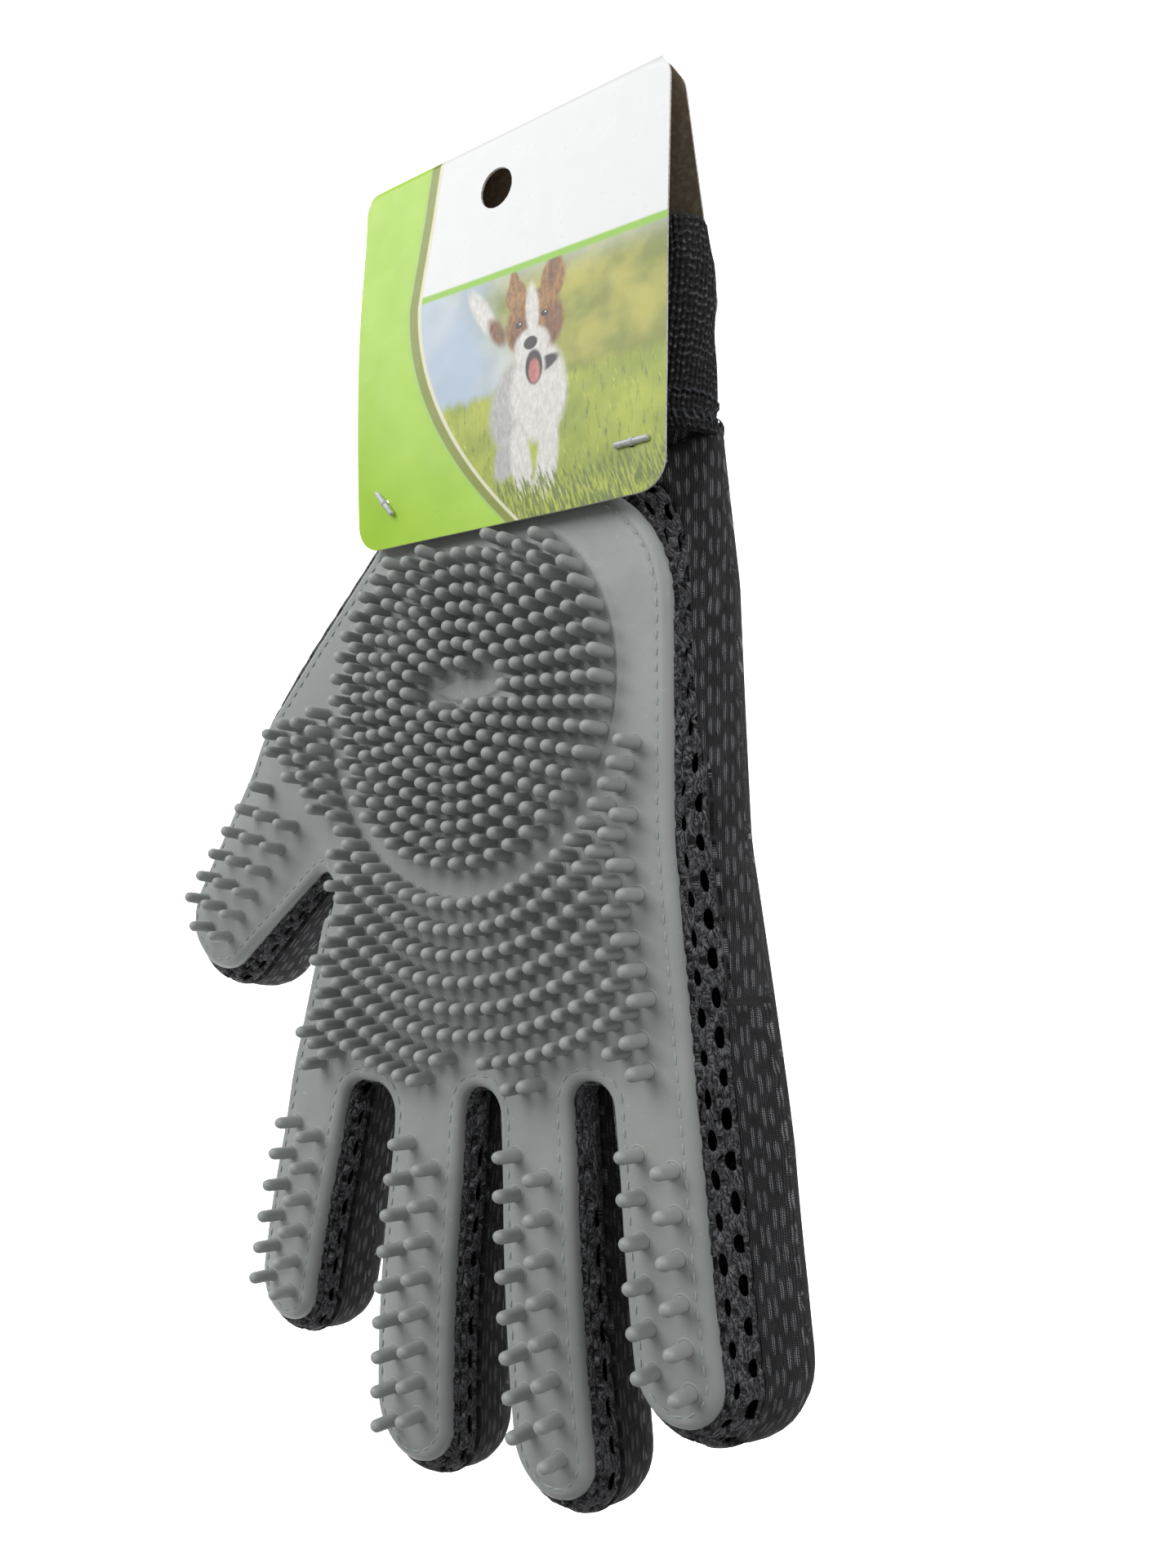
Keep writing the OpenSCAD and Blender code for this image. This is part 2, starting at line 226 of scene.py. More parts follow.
def side_lengths(points):
    return np.linalg.norm(np.roll(points, -1, axis=0) - points, axis=1)


PAD_STEP = 1.5
FABRIC_STEP = 2.2
COUNTS = [max(1, round(max(pad / PAD_STEP, fabric / FABRIC_STEP)))
          for pad, fabric in zip(side_lengths(PAD_BASE), side_lengths(FABRIC_BASE))]
PAD_LINE = divided(PAD_BASE, COUNTS)
FABRIC_LINE = divided(FABRIC_BASE, COUNTS)
LINE_COUNT = len(PAD_LINE)


def inward_normals(line):
    along = np.roll(line, -1, axis=0) - np.roll(line, 1, axis=0)
    along /= np.linalg.norm(along, axis=1)[:, None]
    return np.stack([along[:, 1], -along[:, 0]], axis=1)


def distance_to(points, starts, ends):
    """Distance of each point to the nearest of the sides."""
    best = np.full(len(points), 1e9)
    for a, b in zip(starts, ends):
        d = b - a
        t = np.clip(((points - a) @ d) / max(d @ d, 1e-12), 0, 1)
        best = np.minimum(best, np.hypot(points[:, 0] - a[0] - t * d[0], points[:, 1] - a[1] - t * d[1]))
    return best


def inside(points, line):
    x, z = points[:, 0], points[:, 1]
    odd = np.zeros(len(points), bool)
    for a, b in zip(line, np.roll(line, -1, axis=0)):
        if a[1] == b[1]:
            continue
        crosses = (a[1] > z) != (b[1] > z)
        odd ^= crosses & (x < a[0] + (z - a[1]) * (b[0] - a[0]) / (b[1] - a[1]))
    return odd


def from_edge(points, line):
    return distance_to(points, line, np.roll(line, -1, axis=0))


# ---------------------------------------------------------------- the shape of a soft, hanging hand

BEND_START = 12.0
BEND_RADIUS = 330.0
CROWN_RADIUS = 46.0
# How far the fingers' nubs lean up, as a slope
LIFT = 0.13


def shaped(points):
    """Bend each finger back, crown it across, and let the palm undulate a little."""
    points = np.array(points, float)
    x, y, z = points[:, 0].copy(), points[:, 1].copy(), points[:, 2].copy()
    ripple = 0.35 * np.sin(x / 17 + 0.6) * np.sin(z / 23 + 1.1) * smoothstep(-z, -34, -10)
    points[:, 1] += ripple
    for f in FINGERS.values():
        across, along = f.local(x, z)
        reach = max(f.root, f.end) + 12.5
        mine = (along > -8) & (np.abs(across) < reach)
        for other in FINGERS.values():
            if other is not f:
                mine &= np.abs(across) <= np.abs(other.local(x, z)[0]) + 1e-9
        if f.name == "thumb":
            mine = (along > -8) & (np.abs(across) < 30) & (x < -40)
        ease = smoothstep(along, -8, 14) * mine
        bend = np.maximum(along - BEND_START, 0) * mine
        side = np.clip(across, -14, 14)
        tilt = bend / BEND_RADIUS * 0.3 - LIFT * ease
        roll = side / CROWN_RADIUS * ease * 0.4
        crown = side ** 2 / (2 * CROWN_RADIUS) * ease * np.exp(-np.maximum(y - 3, 0) / 9)
        back = bend ** 2 / (2 * BEND_RADIUS) + crown
        front = np.minimum(y, 3)
        shift_along = -front * tilt
        shift_across = -front * roll
        points[:, 0] += shift_across * f.cos + shift_along * f.sin
        points[:, 2] += shift_across * f.sin - shift_along * f.cos
        points[:, 1] += back
    return points


# ---------------------------------------------------------------- mesh helpers

def make_object(name, verts, faces, materials, weave=None, face_material=None):
    """A smooth mesh object from points in the hand's frame."""
    mesh = bpy.data.meshes.new(name)
    points = [tuple(p) for p in to_row(np.asarray(verts, float))]
    mesh.from_pydata(points, [], [tuple(int(i) for i in f) for f in faces])
    mesh.update()
    if weave is not None:
        layer = mesh.attributes.new("weave", "FLOAT_VECTOR", "POINT")
        flat = np.zeros((len(verts), 3), np.float32)
        flat[:, :2] = weave
        layer.data.foreach_set("vector", flat.ravel())
    for material in materials:
        mesh.materials.append(material)
    if face_material is not None:
        mesh.polygons.foreach_set("material_index", np.asarray(face_material, np.int32))
    mesh.polygons.foreach_set("use_smooth", np.ones(len(mesh.polygons), bool))
    piece = bpy.data.objects.new(name, mesh)
    bpy.context.scene.collection.objects.link(piece)
    return piece


def weld(piece):
    """Join points that lie together."""
    bm = bmesh.new()
    bm.from_mesh(piece.data)
    bmesh.ops.remove_doubles(bm, verts=bm.verts, dist=0.01 * MM)
    bmesh.ops.recalc_face_normals(bm, faces=bm.faces)
    bm.to_mesh(piece.data)
    bm.free()


def face_outwards(piece):
    bm = bmesh.new()
    bm.from_mesh(piece.data)
    bmesh.ops.recalc_face_normals(bm, faces=bm.faces)
    bm.to_mesh(piece.data)
    bm.free()


def apply_modifiers(piece):
    depsgraph = bpy.context.evaluated_depsgraph_get()
    depsgraph.update()
    mesh = bpy.data.meshes.new_from_object(piece.evaluated_get(depsgraph))
    old = piece.data
    piece.modifiers.clear()
    piece.data = mesh
    mesh.name = piece.name
    bpy.data.meshes.remove(old)


def thicken(piece, thickness, offset, sharp=True):
    """Give an open surface a thickness, so that it is a closed solid."""
    solid = piece.modifiers.new("Thickness", "SOLIDIFY")
    solid.thickness = thickness * MM
    solid.offset = offset
    solid.use_even_offset = False
    solid.use_rim = True
    apply_modifiers(piece)
    if sharp:
        sharpen(piece, 55)


def sharpen(piece, degrees):
    piece.data.set_sharp_from_angle(angle=math.radians(degrees))


def triangulated(points, rings, cuts, line):
    """Triangles over points that lie inside line, with rings of points kept as edges, and cuts too."""
    coords = [Vector((float(p[0]), float(p[1]))) for p in points]
    edges = []
    for ring in rings:
        edges += [(ring[i], ring[(i + 1) % len(ring)]) for i in range(len(ring))]
    for a, b in cuts:
        count = int(math.dist(a, b) / 0.55)
        edges += [(len(coords) + i, len(coords) + i + 1) for i in range(count)]
        coords += [Vector(a).lerp(Vector(b), i / count) for i in range(count + 1)]
    verts, _, faces, _, _, _ = delaunay_2d_cdt(coords, edges, [], 0, 1e-5)
    verts = np.array([(v.x, v.y) for v in verts])
    faces = np.array([f for f in faces if len(f) == 3])
    centres = verts[faces].mean(axis=1)
    faces = faces[inside(centres, line)]
    used = np.unique(faces)
    index = np.full(len(verts), -1)
    index[used] = np.arange(len(used))
    return verts[used], index[faces]


def owner_of(centres):
    """The finger past whose knuckle each point lies, or the hand."""
    owner = np.full(len(centres), "hand", dtype=object)
    for f in FINGERS.values():
        across, along = f.local(centres[:, 0], centres[:, 1])
        width = max(f.root, f.end) + 12.5
        near = np.ones(len(centres), bool)
        for other in FINGERS.values():
            if other is not f and other.name != "thumb" and f.name != "thumb":
                near &= np.abs(across) <= np.abs(other.local(centres[:, 0], centres[:, 1])[0])
        if f.name == "thumb":
            near = centres[:, 0] < -42
            width = 30
        if f.name == "index":
            near &= centres[:, 1] < -70
        owner[(along > 1e-4) & (np.abs(across) < width) & near] = f.name
    return owner


BODIES = ["hand", *FINGERS]
# How far past the knuckle attach() takes a point on a finger, which it does not use
BLEND_REACH = 15.0


def attach(piece, body):
    """A piece of the hand is parented to the hand's body; a finger's piece, which starts at the knuckle, only
    has its transform baked.
    """
    if body == "hand":
        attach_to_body(piece, "hand")
    else:
        f = FINGERS[body]
        f.row_point(0)
        f.row_point(BLEND_REACH)
        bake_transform(piece)


def knuckle_cuts():
    cuts = []
    for f in FINGERS.values():
        wide = max(f.root, f.end) + (3 if f.name == "thumb" else 5)
        right = wide + (9 if f.name == "little" else 0)
        left = wide + (9 if f.name in ("thumb", "index") else 0)
        cuts.append((f.at(-left, 0), f.at(right, 0)))
    return cuts


# ---------------------------------------------------------------- materials

class Field:
    """A number in a shader, with arithmetic that makes Math nodes."""

    def __init__(self, tree, socket):
        self.tree = tree
        self.socket = socket

    def _math(self, operation, *others):
        node = self.tree.nodes.new("ShaderNodeMath")
        node.operation = operation
        for slot, value in enumerate((self, *others)):
            if isinstance(value, Field):
                self.tree.links.new(value.socket, node.inputs[slot])
            else:
                node.inputs[slot].default_value = value
        return Field(self.tree, node.outputs[0])

    def __add__(self, other):
        return self._math("ADD", other)

    def __sub__(self, other):
        return self._math("SUBTRACT", other)

    def __mul__(self, other):
        return self._math("MULTIPLY", other)

    def power(self, other):
        return self._math("POWER", other)

    def sine(self):
        return self._math("SINE")

    def size(self):
        return self._math("ABSOLUTE")

    def root(self):
        return self._math("SQRT")

    def lowest(self, other):
        return self._math("MINIMUM", other)

    def highest(self, other):
        return self._math("MAXIMUM", other)

    def floor(self):
        return self._math("FLOOR")

    def ramp(self, low, high, to_low=0.0, to_high=1.0):
        """A smooth step from to_low at low to to_high at high."""
        node = self.tree.nodes.new("ShaderNodeMapRange")
        node.interpolation_type = "SMOOTHSTEP"
        self.tree.links.new(self.socket, node.inputs["Value"])
        ends = {"From Min": low, "From Max": high, "To Min": to_low, "To Max": to_high}
        for name, value in ends.items():
            node.inputs[name].default_value = value
        return Field(self.tree, node.outputs["Result"])


class Surface:
    """A material under construction, with its principled shader."""

    def __init__(self, name):
        self.material = bpy.data.materials.new(name)
        self.material.use_nodes = True
        self.tree = self.material.node_tree
        self.shader = self.tree.nodes["Principled BSDF"]

    def set(self, **values):
        for name, value in values.items():
            self.shader.inputs[name.replace("_", " ")].default_value = value

    def new(self, kind):
        return self.tree.nodes.new(kind)

    def coords(self):
        return self.new("ShaderNodeTexCoord").outputs["Object"]

    def weave(self):
        node = self.new("ShaderNodeAttribute")
        node.attribute_name = "weave"
        return node.outputs["Vector"]

    def axes(self, vector):
        node = self.new("ShaderNodeSeparateXYZ")
        self.tree.links.new(vector, node.inputs[0])
        return [Field(self.tree, node.outputs[i]) for i in range(3)]

    def vector(self, x, y, z=0.0):
        node = self.new("ShaderNodeCombineXYZ")
        for slot, value in enumerate((x, y, z)):
            if isinstance(value, Field):
                self.tree.links.new(value.socket, node.inputs[slot])
            else:
                node.inputs[slot].default_value = value
        return node.outputs[0]

    def noise(self, vector, scale, detail=2.0, rough=0.5):
        node = self.new("ShaderNodeTexNoise")
        self.tree.links.new(vector, node.inputs["Vector"])
        node.inputs["Scale"].default_value = scale
        node.inputs["Detail"].default_value = detail
        node.inputs["Roughness"].default_value = rough
        return Field(self.tree, node.outputs["Fac"])

    def mix(self, factor, a, b):
        """Colour a where factor is 0, and b where it is 1."""
        node = self.new("ShaderNodeMix")
        node.data_type = "RGBA"
        self.tree.links.new(factor.socket, node.inputs["Factor"])
        for slot, value in ((6, a), (7, b)):
            if isinstance(value, tuple):
                node.inputs[slot].default_value = (*value, 1.0)
            else:
                self.tree.links.new(value, node.inputs[slot])
        return node.outputs[2]

    def colour(self, socket):
        self.tree.links.new(socket, self.shader.inputs["Base Color"])

    def roughness(self, field):
        self.tree.links.new(field.socket, self.shader.inputs["Roughness"])

    def bump(self, field, millimetres, strength=1.0):
        """Relief whose height is field times this many millimetres."""
        node = self.new("ShaderNodeBump")
        node.inputs["Distance"].default_value = millimetres * MM
        node.inputs["Strength"].default_value = strength
        self.tree.links.new(field.socket, node.inputs["Height"])
        self.tree.links.new(node.outputs["Normal"], self.shader.inputs["Normal"])


def grey_rubber():
    s = Surface("grey_rubber")
    p = s.coords()
    mottle = s.noise(p, 55, 3)
    speck = s.noise(p, 900, 2)
    base = s.mix(mottle.ramp(0.3, 0.7), (0.315, 0.338, 0.328), (0.355, 0.376, 0.364))
    s.colour(s.mix(speck.ramp(0.66, 0.8), base, (0.43, 0.45, 0.43)))
    s.roughness(s.noise(p, 160, 3).ramp(0.2, 0.8, 0.44, 0.6))
    s.bump(s.noise(p, 420, 4, 0.6) * 0.7 + mottle * 0.6, 0.10)
    s.set(Specular_IOR_Level=0.42)
    return s.material


def yarn(s, uv_x, uv_y, pitch):
    """Loops of yarn in columns: a height from 0 to 1."""
    column = (uv_x * (1 / pitch)).floor()
    across = (uv_x * (math.pi / pitch)).sine().size()
    row = uv_y * (math.pi / (pitch * 0.62)) + across * 1.3 + column * 1.9
    return across.power(0.7) * row.sine().size().power(0.6)


def pique_knit():
    s = Surface("pique_knit")
    x, y, _ = s.axes(s.weave())
    wander = s.noise(s.vector(x, y), 0.22, 2)
    u = x + wander * 1.1
    v = y + s.noise(s.vector(x, y, 3.0), 0.35, 2) * 1.0
    loops = yarn(s, u, v, 0.62)
    fuzz = s.noise(s.vector(u * 1.0, v * 1.0), 3.4, 3, 0.65)
    # Raised blisters stand in staggered columns
    stagger = (u * (1 / 4.4)).floor() * 2.9
    blister_x = (u * (math.pi / 2.2)).sine().size()
    blister_y = ((v + stagger) * (math.pi / 5.8)).sine().size()
    blister = (blister_x * blister_y).ramp(0.40, 0.85)
    light = (loops * 0.75 + fuzz * 0.55).ramp(0.50, 0.95) * (blister * 0.75 + 0.25)
    patch = s.noise(s.vector(x, y, 9.0), 0.28, 2).ramp(0.3, 0.75, 0.55, 1.15)
    tone = light * patch
    s.colour(s.mix(tone.ramp(0.0, 0.8), (0.0085, 0.0088, 0.0105), (0.32, 0.325, 0.345)))
    s.roughness(fuzz.ramp(0.2, 0.8, 0.78, 0.95))
    s.bump(loops * 0.45 + blister * 0.7 + fuzz * 0.3, 0.55)
    s.set(Sheen_Weight=0.12, Sheen_Roughness=0.5, Specular_IOR_Level=0.2)
    return s.material


def air_mesh():
    s = Surface("air_mesh")
    x, y, _ = s.axes(s.weave())
    bend = s.noise(s.vector(x, y), 0.5, 2)
    strands = s.noise(s.vector(x * 3.2 + bend * 3.0, y * 0.75 + bend * 2.0), 1.0, 4, 0.6)
    fine = s.noise(s.vector(x * 4.0, y * 2.2, 5.0), 1.4, 3, 0.7)
    light = (strands * 0.7 + fine * 0.45).ramp(0.5, 0.74)
    s.colour(s.mix(light, (0.009, 0.0092, 0.011), (0.215, 0.218, 0.232)))
    s.roughness(fine.ramp(0.2, 0.8, 0.75, 0.92))
    s.bump(strands * 0.8 + fine * 0.4, 0.4)
    s.set(Sheen_Weight=0.1, Sheen_Roughness=0.5, Specular_IOR_Level=0.22)
    return s.material


def ribbed_elastic():
    s = Surface("ribbed_elastic")
    x, y, _ = s.axes(s.weave())
    pull = s.noise(s.vector(x, y), 0.25, 2)
    row = (y * (math.pi / 1.5) + (x * (math.pi / 1.05)).sine() * 0.4 + pull * 1.4).sine().size()
    glint = row.power(3.0) * s.noise(s.vector(x * 1.0, y * 0.8, 2.0), 1.6, 3, 0.6).ramp(0.35, 0.75)
    s.colour(s.mix(glint.ramp(0.05, 0.85), (0.0125, 0.0128, 0.0145), (0.135, 0.132, 0.135)))
    s.roughness(pull.ramp(0.2, 0.8, 0.72, 0.88))
    s.bump(row * 0.6 + s.noise(s.vector(x, y), 2.5, 3, 0.6) * 0.5, 0.35)
    s.set(Sheen_Weight=0.1, Sheen_Roughness=0.5, Specular_IOR_Level=0.24)
    return s.material


def thread(name, dark, light):
    s = Surface(name)
    x, y, _ = s.axes(s.weave())
    twist = ((x * 1.2 + y * 0.8) * (math.pi / 0.35)).sine().size()
    s.colour(s.mix(twist.ramp(0.1, 0.9), dark, light))
    s.roughness(s.noise(s.coords(), 1800, 2).ramp(0.2, 0.8, 0.5, 0.7))
    s.bump(twist, 0.08)
    s.set(Specular_IOR_Level=0.4)
    return s.material


def kraft_card():
    s = Surface("kraft_card")
    p = s.coords()
    fibre = s.noise(p, 700, 4, 0.7)
    shade = s.noise(p, 45, 2)
    base = s.mix(shade.ramp(0.3, 0.7), (0.235, 0.185, 0.125), (0.285, 0.225, 0.155))
    s.colour(s.mix(fibre.ramp(0.42, 0.68), base, (0.40, 0.33, 0.24)))
    s.roughness(fibre.ramp(0.2, 0.8, 0.8, 0.95))
    s.bump(fibre, 0.05)
    s.set(Specular_IOR_Level=0.25)
    return s.material


def card_edge():
    s = Surface("card_edge")
    p = s.coords()
    s.colour(s.mix(s.noise(p, 1500, 3).ramp(0.35, 0.65), (0.50, 0.47, 0.42), (0.74, 0.72, 0.68)))
    s.roughness(s.noise(p, 900, 2).ramp(0.2, 0.8, 0.7, 0.9))
    return s.material


def clear_nylon():
    s = Surface("clear_nylon")
    p = s.coords()
    s.colour(s.mix(s.noise(p, 500, 2).ramp(0.3, 0.7), (0.62, 0.65, 0.68), (0.80, 0.82, 0.84)))
    s.roughness(s.noise(p, 900, 2).ramp(0.2, 0.8, 0.18, 0.34))
    s.bump(s.noise(p, 1200, 2), 0.03)
    s.set(Transmission_Weight=0.35, IOR=1.53)
    return s.material


def printed_card():
    """The print outside the card: a green band, a white sky, and a small dog that runs through grass."""
    s = Surface("printed_card")
    px, py, pz = s.axes(s.coords())
    # Millimetres from the middle of the hang hole
    x = px * (1 / MM)
    z = pz * (1 / MM)
    plane = s.vector(x, z)

    def blob(cx, cz, rx, rz, lean=0.0, soft=0.12):
        """1 inside an ellipse and 0 outside it."""
        c, n = math.cos(math.radians(lean)), math.sin(math.radians(lean))
        dx, dz = x - cx, z - cz
        a = (dx * c + dz * n) * (1 / rx)
        b = (dz * c - dx * n) * (1 / rz)
        return (a * a + b * b).root().ramp(1 + soft, 1 - soft)

    grass_noise = s.noise(s.vector(x * 1.0, z * 0.22), 0.9, 4, 0.65)
    broad = s.noise(plane, 0.07, 3)
    blades = s.noise(s.vector(x * 1.0 + z * 0.35, z * 0.16), 1.7, 3, 0.6)
    sky = s.mix(s.noise(plane, 0.05, 2).ramp(0.35, 0.7), (0.42, 0.52, 0.64), (0.62, 0.68, 0.72))
    trees = s.mix(s.noise(plane, 0.10, 3).ramp(0.3, 0.7), (0.20, 0.24, 0.015), (0.48, 0.46, 0.07))
    tree_place = (x * 0.9 + z * 0.55 + broad * 34.0).ramp(-12, 12)
    scene = s.mix(tree_place * z.ramp(-14, -26), sky, trees)
    meadow = s.mix(broad.ramp(0.35, 0.65), (0.26, 0.34, 0.015), (0.44, 0.50, 0.03))
    meadow = s.mix(grass_noise.ramp(0.52, 0.72), meadow, (0.12, 0.19, 0.01))
    meadow = s.mix(blades.ramp(0.6, 0.72), meadow, (0.60, 0.64, 0.08))
    horizon = (z + s.noise(s.vector(x, 0.0), 0.35, 3) * 5.0).ramp(-40.5, -43.5)
    scene = s.mix(horizon, scene, meadow)

    # The dog, which runs forward with its tail up behind it
    fur = s.noise(s.vector(x * 1.0, z * 0.4), 1.2, 4, 0.7)
    white = s.mix(fur.ramp(0.3, 0.75), (0.58, 0.57, 0.52), (0.82, 0.81, 0.78))
    shade = s.mix(fur.ramp(0.3, 0.75), (0.36, 0.37, 0.36), (0.56, 0.56, 0.54))
    tan = s.mix(fur.ramp(0.3, 0.7), (0.16, 0.062, 0.012), (0.46, 0.23, 0.05))
    deep = s.mix(fur.ramp(0.3, 0.7), (0.10, 0.035, 0.008), (0.28, 0.12, 0.03))
    dark = (0.014, 0.010, 0.009)
    pink = s.mix(fur.ramp(0.3, 0.7), (0.42, 0.10, 0.09), (0.62, 0.22, 0.20))
    parts = [
        (blob(-2.6, -26.8, 2.0, 6.8, 33, 0.3), white),
        (blob(1.4, -31.8, 1.7, 3.6, 33, 0.4), deep),
        (blob(6.4, -48.0, 6.6, 9.4, -16, 0.16), shade),
        (blob(12.4, -46.5, 7.2, 10.5, 6, 0.14), white),
        (blob(4.6, -57.6, 3.2, 6.2, -24, 0.2), shade),
        (blob(8.0, -60.2, 2.6, 8.0, 10, 0.2), white),
        (blob(14.6, -61.4, 2.7, 9.4, -8, 0.2), white),
        (blob(10.2, -66.6, 3.2, 2.2, 0, 0.24), white),
        (blob(15.8, -69.6, 3.2, 2.4, 0, 0.24), white),
        (blob(13.0, -41.6, 4.6, 1.5, 14, 0.2), dark),
        (blob(6.4, -25.6, 2.7, 3.6, 8, 0.14), tan),
        (blob(5.9, -23.2, 1.3, 3.4, 6, 0.2), tan),
        (blob(15.8, -24.6, 3.1, 4.6, -8, 0.14), tan),
        (blob(16.5, -20.8, 1.5, 4.8, -8, 0.2), tan),
        (blob(15.8, -22.6, 1.2, 4.4, -8, 0.5), deep),
        (blob(11.0, -32.2, 7.2, 6.9, 4, 0.1), tan),
        (blob(7.4, -33.8, 2.6, 3.6, 8, 0.3), deep),
        (blob(16.2, -33.6, 2.4, 4.2, -8, 0.3), deep),
        (blob(10.7, -29.4, 1.7, 5.4, 4, 0.24), white),
        (blob(10.6, -36.9, 4.6, 3.9, 0, 0.16), white),
        (blob(11.0, -41.6, 3.1, 4.4, 4, 0.16), white),
        (blob(11.2, -41.4, 2.2, 3.6, 4, 0.12), dark),
        (blob(11.3, -42.2, 1.45, 2.5, 4, 0.2), pink),
        (blob(10.3, -36.2, 1.75, 1.35, 0, 0.12), dark),
        (blob(7.3, -31.8, 0.95, 0.7, 8, 0.14), dark),
        (blob(13.9, -31.0, 1.0, 0.7, -8, 0.14), dark),
        (blob(7.5, -31.6, 0.22, 0.18, 0, 0.3), (0.9, 0.9, 0.9)),
        (blob(14.1, -30.8, 0.22, 0.18, 0, 0.3), (0.9, 0.9, 0.9)),
    ]
    for mask, tone in parts:
        scene = s.mix(mask, scene, tone)
    front_grass = (z + blades * 20.0 + s.noise(s.vector(x, 1.0), 0.9, 2) * 6.0).ramp(-50.0, -54.0)
    near = s.mix(blades.ramp(0.42, 0.62), (0.13, 0.19, 0.012), (0.46, 0.52, 0.05))
    scene = s.mix(front_grass, scene, near)

    # White above the picture, with a thin lime line between them
    line = z + x * 0.02
    scene = s.mix(line.ramp(-20.4, -19.8), scene, (0.27, 0.56, 0.02))
    scene = s.mix(line.ramp(-18.9, -18.3), scene, (0.80, 0.81, 0.81))
    # The green band on the left, behind a curved olive and cream stripe
    below = (z + 20.0).lowest(0.0) * (1 / 50.0)
    above = (z + 20.0).highest(0.0)
    edge = below * below * 26.0 + above * 0.16 - 24.2
    band = x - edge
    lime = s.mix(s.noise(plane, 0.05, 2).ramp(0.3, 0.7), (0.36, 0.62, 0.03), (0.42, 0.68, 0.045))
    scene = s.mix(band.ramp(3.9, 3.5), scene, (0.74, 0.72, 0.50))
    scene = s.mix(band.ramp(2.9, 2.5), scene, (0.22, 0.27, 0.02))
    scene = s.mix(band.ramp(0.5, 0.1), scene, (0.36, 0.60, 0.10))
    scene = s.mix(band.ramp(-0.3, -0.7), scene, lime)
    back = s.mix(s.noise(plane, 0.06, 2).ramp(0.3, 0.7), (0.36, 0.62, 0.03), (0.42, 0.68, 0.045))
    scene = s.mix(py.ramp(0.0040, 0.0044), scene, back)
    s.colour(scene)
    s.roughness(s.noise(s.coords(), 260, 2).ramp(0.2, 0.8, 0.26, 0.36))
    s.bump(s.noise(s.coords(), 300, 3), 0.03)
    s.set(Coat_Weight=0.12, Coat_Roughness=0.3, Specular_IOR_Level=0.35)
    return s.material


def plain(name, colour, rough, glow):
    s = Surface(name)
    s.colour(s.mix(s.noise(s.coords(), 6, 2).ramp(0.3, 0.7), colour, tuple(c * 0.985 for c in colour)))
    s.set(Roughness=rough, Emission_Strength=glow)
    return s.material


RUBBER = grey_rubber()
KNIT = pique_knit()
MESH = air_mesh()
ELASTIC = ribbed_elastic()
GREY_THREAD = thread("grey_thread", (0.16, 0.20, 0.205), (0.55, 0.62, 0.62))
DARK_THREAD = thread("dark_thread", (0.012, 0.014, 0.022), (0.085, 0.095, 0.125))
KRAFT = kraft_card()
CARD_EDGE = card_edge()
PRINT = printed_card()
NYLON = clear_nylon()


# ---------------------------------------------------------------- rubber pad

MARK_HALF = 9.2
MARK_HIGH = 2.5
EDGE_STEPS = (0.35, 0.8, 1.3, 1.8, 2.4, 3.0, 3.6, 4.2, 5.0, 6.2)


def mark_distance(points):
    """How far inside the lens-shaped mark each point is."""
    radius = (MARK_HALF ** 2 + MARK_HIGH ** 2) / (2 * MARK_HIGH)
    drop = radius - MARK_HIGH
    x, z = points[:, 0], points[:, 1] - 0.4
    return np.minimum(radius - np.hypot(x, z + drop), radius - np.hypot(x, z - drop))


def pad_front(points):
    """Y of the pad's front face: rounded edge, sewing groove, circle line and mark."""
    d = from_edge(points, PAD_LINE)
    edge = 1.5 * (1 - np.sqrt(1 - (1 - np.clip(d / 1.9, 0, 1)) ** 2))
    bead = -0.16 * np.exp(-((d - 2.1) / 0.7) ** 2)
    groove = 0.24 * np.exp(-((d - STITCH_INSET) / 0.55) ** 2)
    ring = -0.3 * np.exp(-((np.hypot(points[:, 0], points[:, 1]) - CIRCLE_R) / 0.42) ** 2)
    mark = -0.45 * smoothstep(mark_distance(points), -0.35, 0.35)
    return edge + bead + groove + ring * smoothstep(d, 3, 5) + mark


def inset_points(line, distance):
    """Points that far inside the line, without those that a corner brings too close."""
    points = line + inward_normals(line) * distance
    points = points[inside(points, line)]
    return points[from_edge(points, line) > distance - 0.12]


def grid(step, low, high):
    xs = np.arange(low[0], high[0], step)
    zs = np.arange(low[1], high[1], step * 0.866)
    return np.array([(x + (k % 2) * step / 2, z) for k, z in enumerate(zs) for x in xs])


def circle(radius, count, phase=0.0):
    """Points spread evenly round a circle, turned by a share of their spacing."""
    turns = [2 * math.pi * (i + phase) / count for i in range(count)]
    return [(radius * math.cos(a), radius * math.sin(a)) for a in turns]


def pad_plate():
    sets = [PAD_LINE]
    for d in EDGE_STEPS:
        sets.append(inset_points(PAD_LINE, d))
    near_circle = (-1.0, -0.5, -0.2, 0.0, 0.2, 0.5, 1.0)
    ring = np.array([p for r in near_circle for p in ring_of_nubs(CIRCLE_R + r, 1.3, 0)])
    ring = ring[inside(ring, PAD_LINE)]
    sets.append(ring[from_edge(ring, PAD_LINE) > 6.6])
    mark = grid(0.45, (-10.2, -3.0), (10.4, 3.9))
    sets.append(mark)
    filler = grid(2.4, PAD_LINE.min(axis=0), PAD_LINE.max(axis=0))
    filler = filler[inside(filler, PAD_LINE)]
    keep = from_edge(filler, PAD_LINE) > 7.2
    keep &= np.abs(np.hypot(filler[:, 0], filler[:, 1]) - CIRCLE_R) > 1.6
    keep &= (np.abs(filler[:, 0]) > 11) | (np.abs(filler[:, 1] - 0.4) > 4)
    sets.append(filler[keep])
    points = np.concatenate(sets)
    verts, faces = triangulated(points, [list(range(LINE_COUNT))], knuckle_cuts(), PAD_LINE)
    return verts, faces


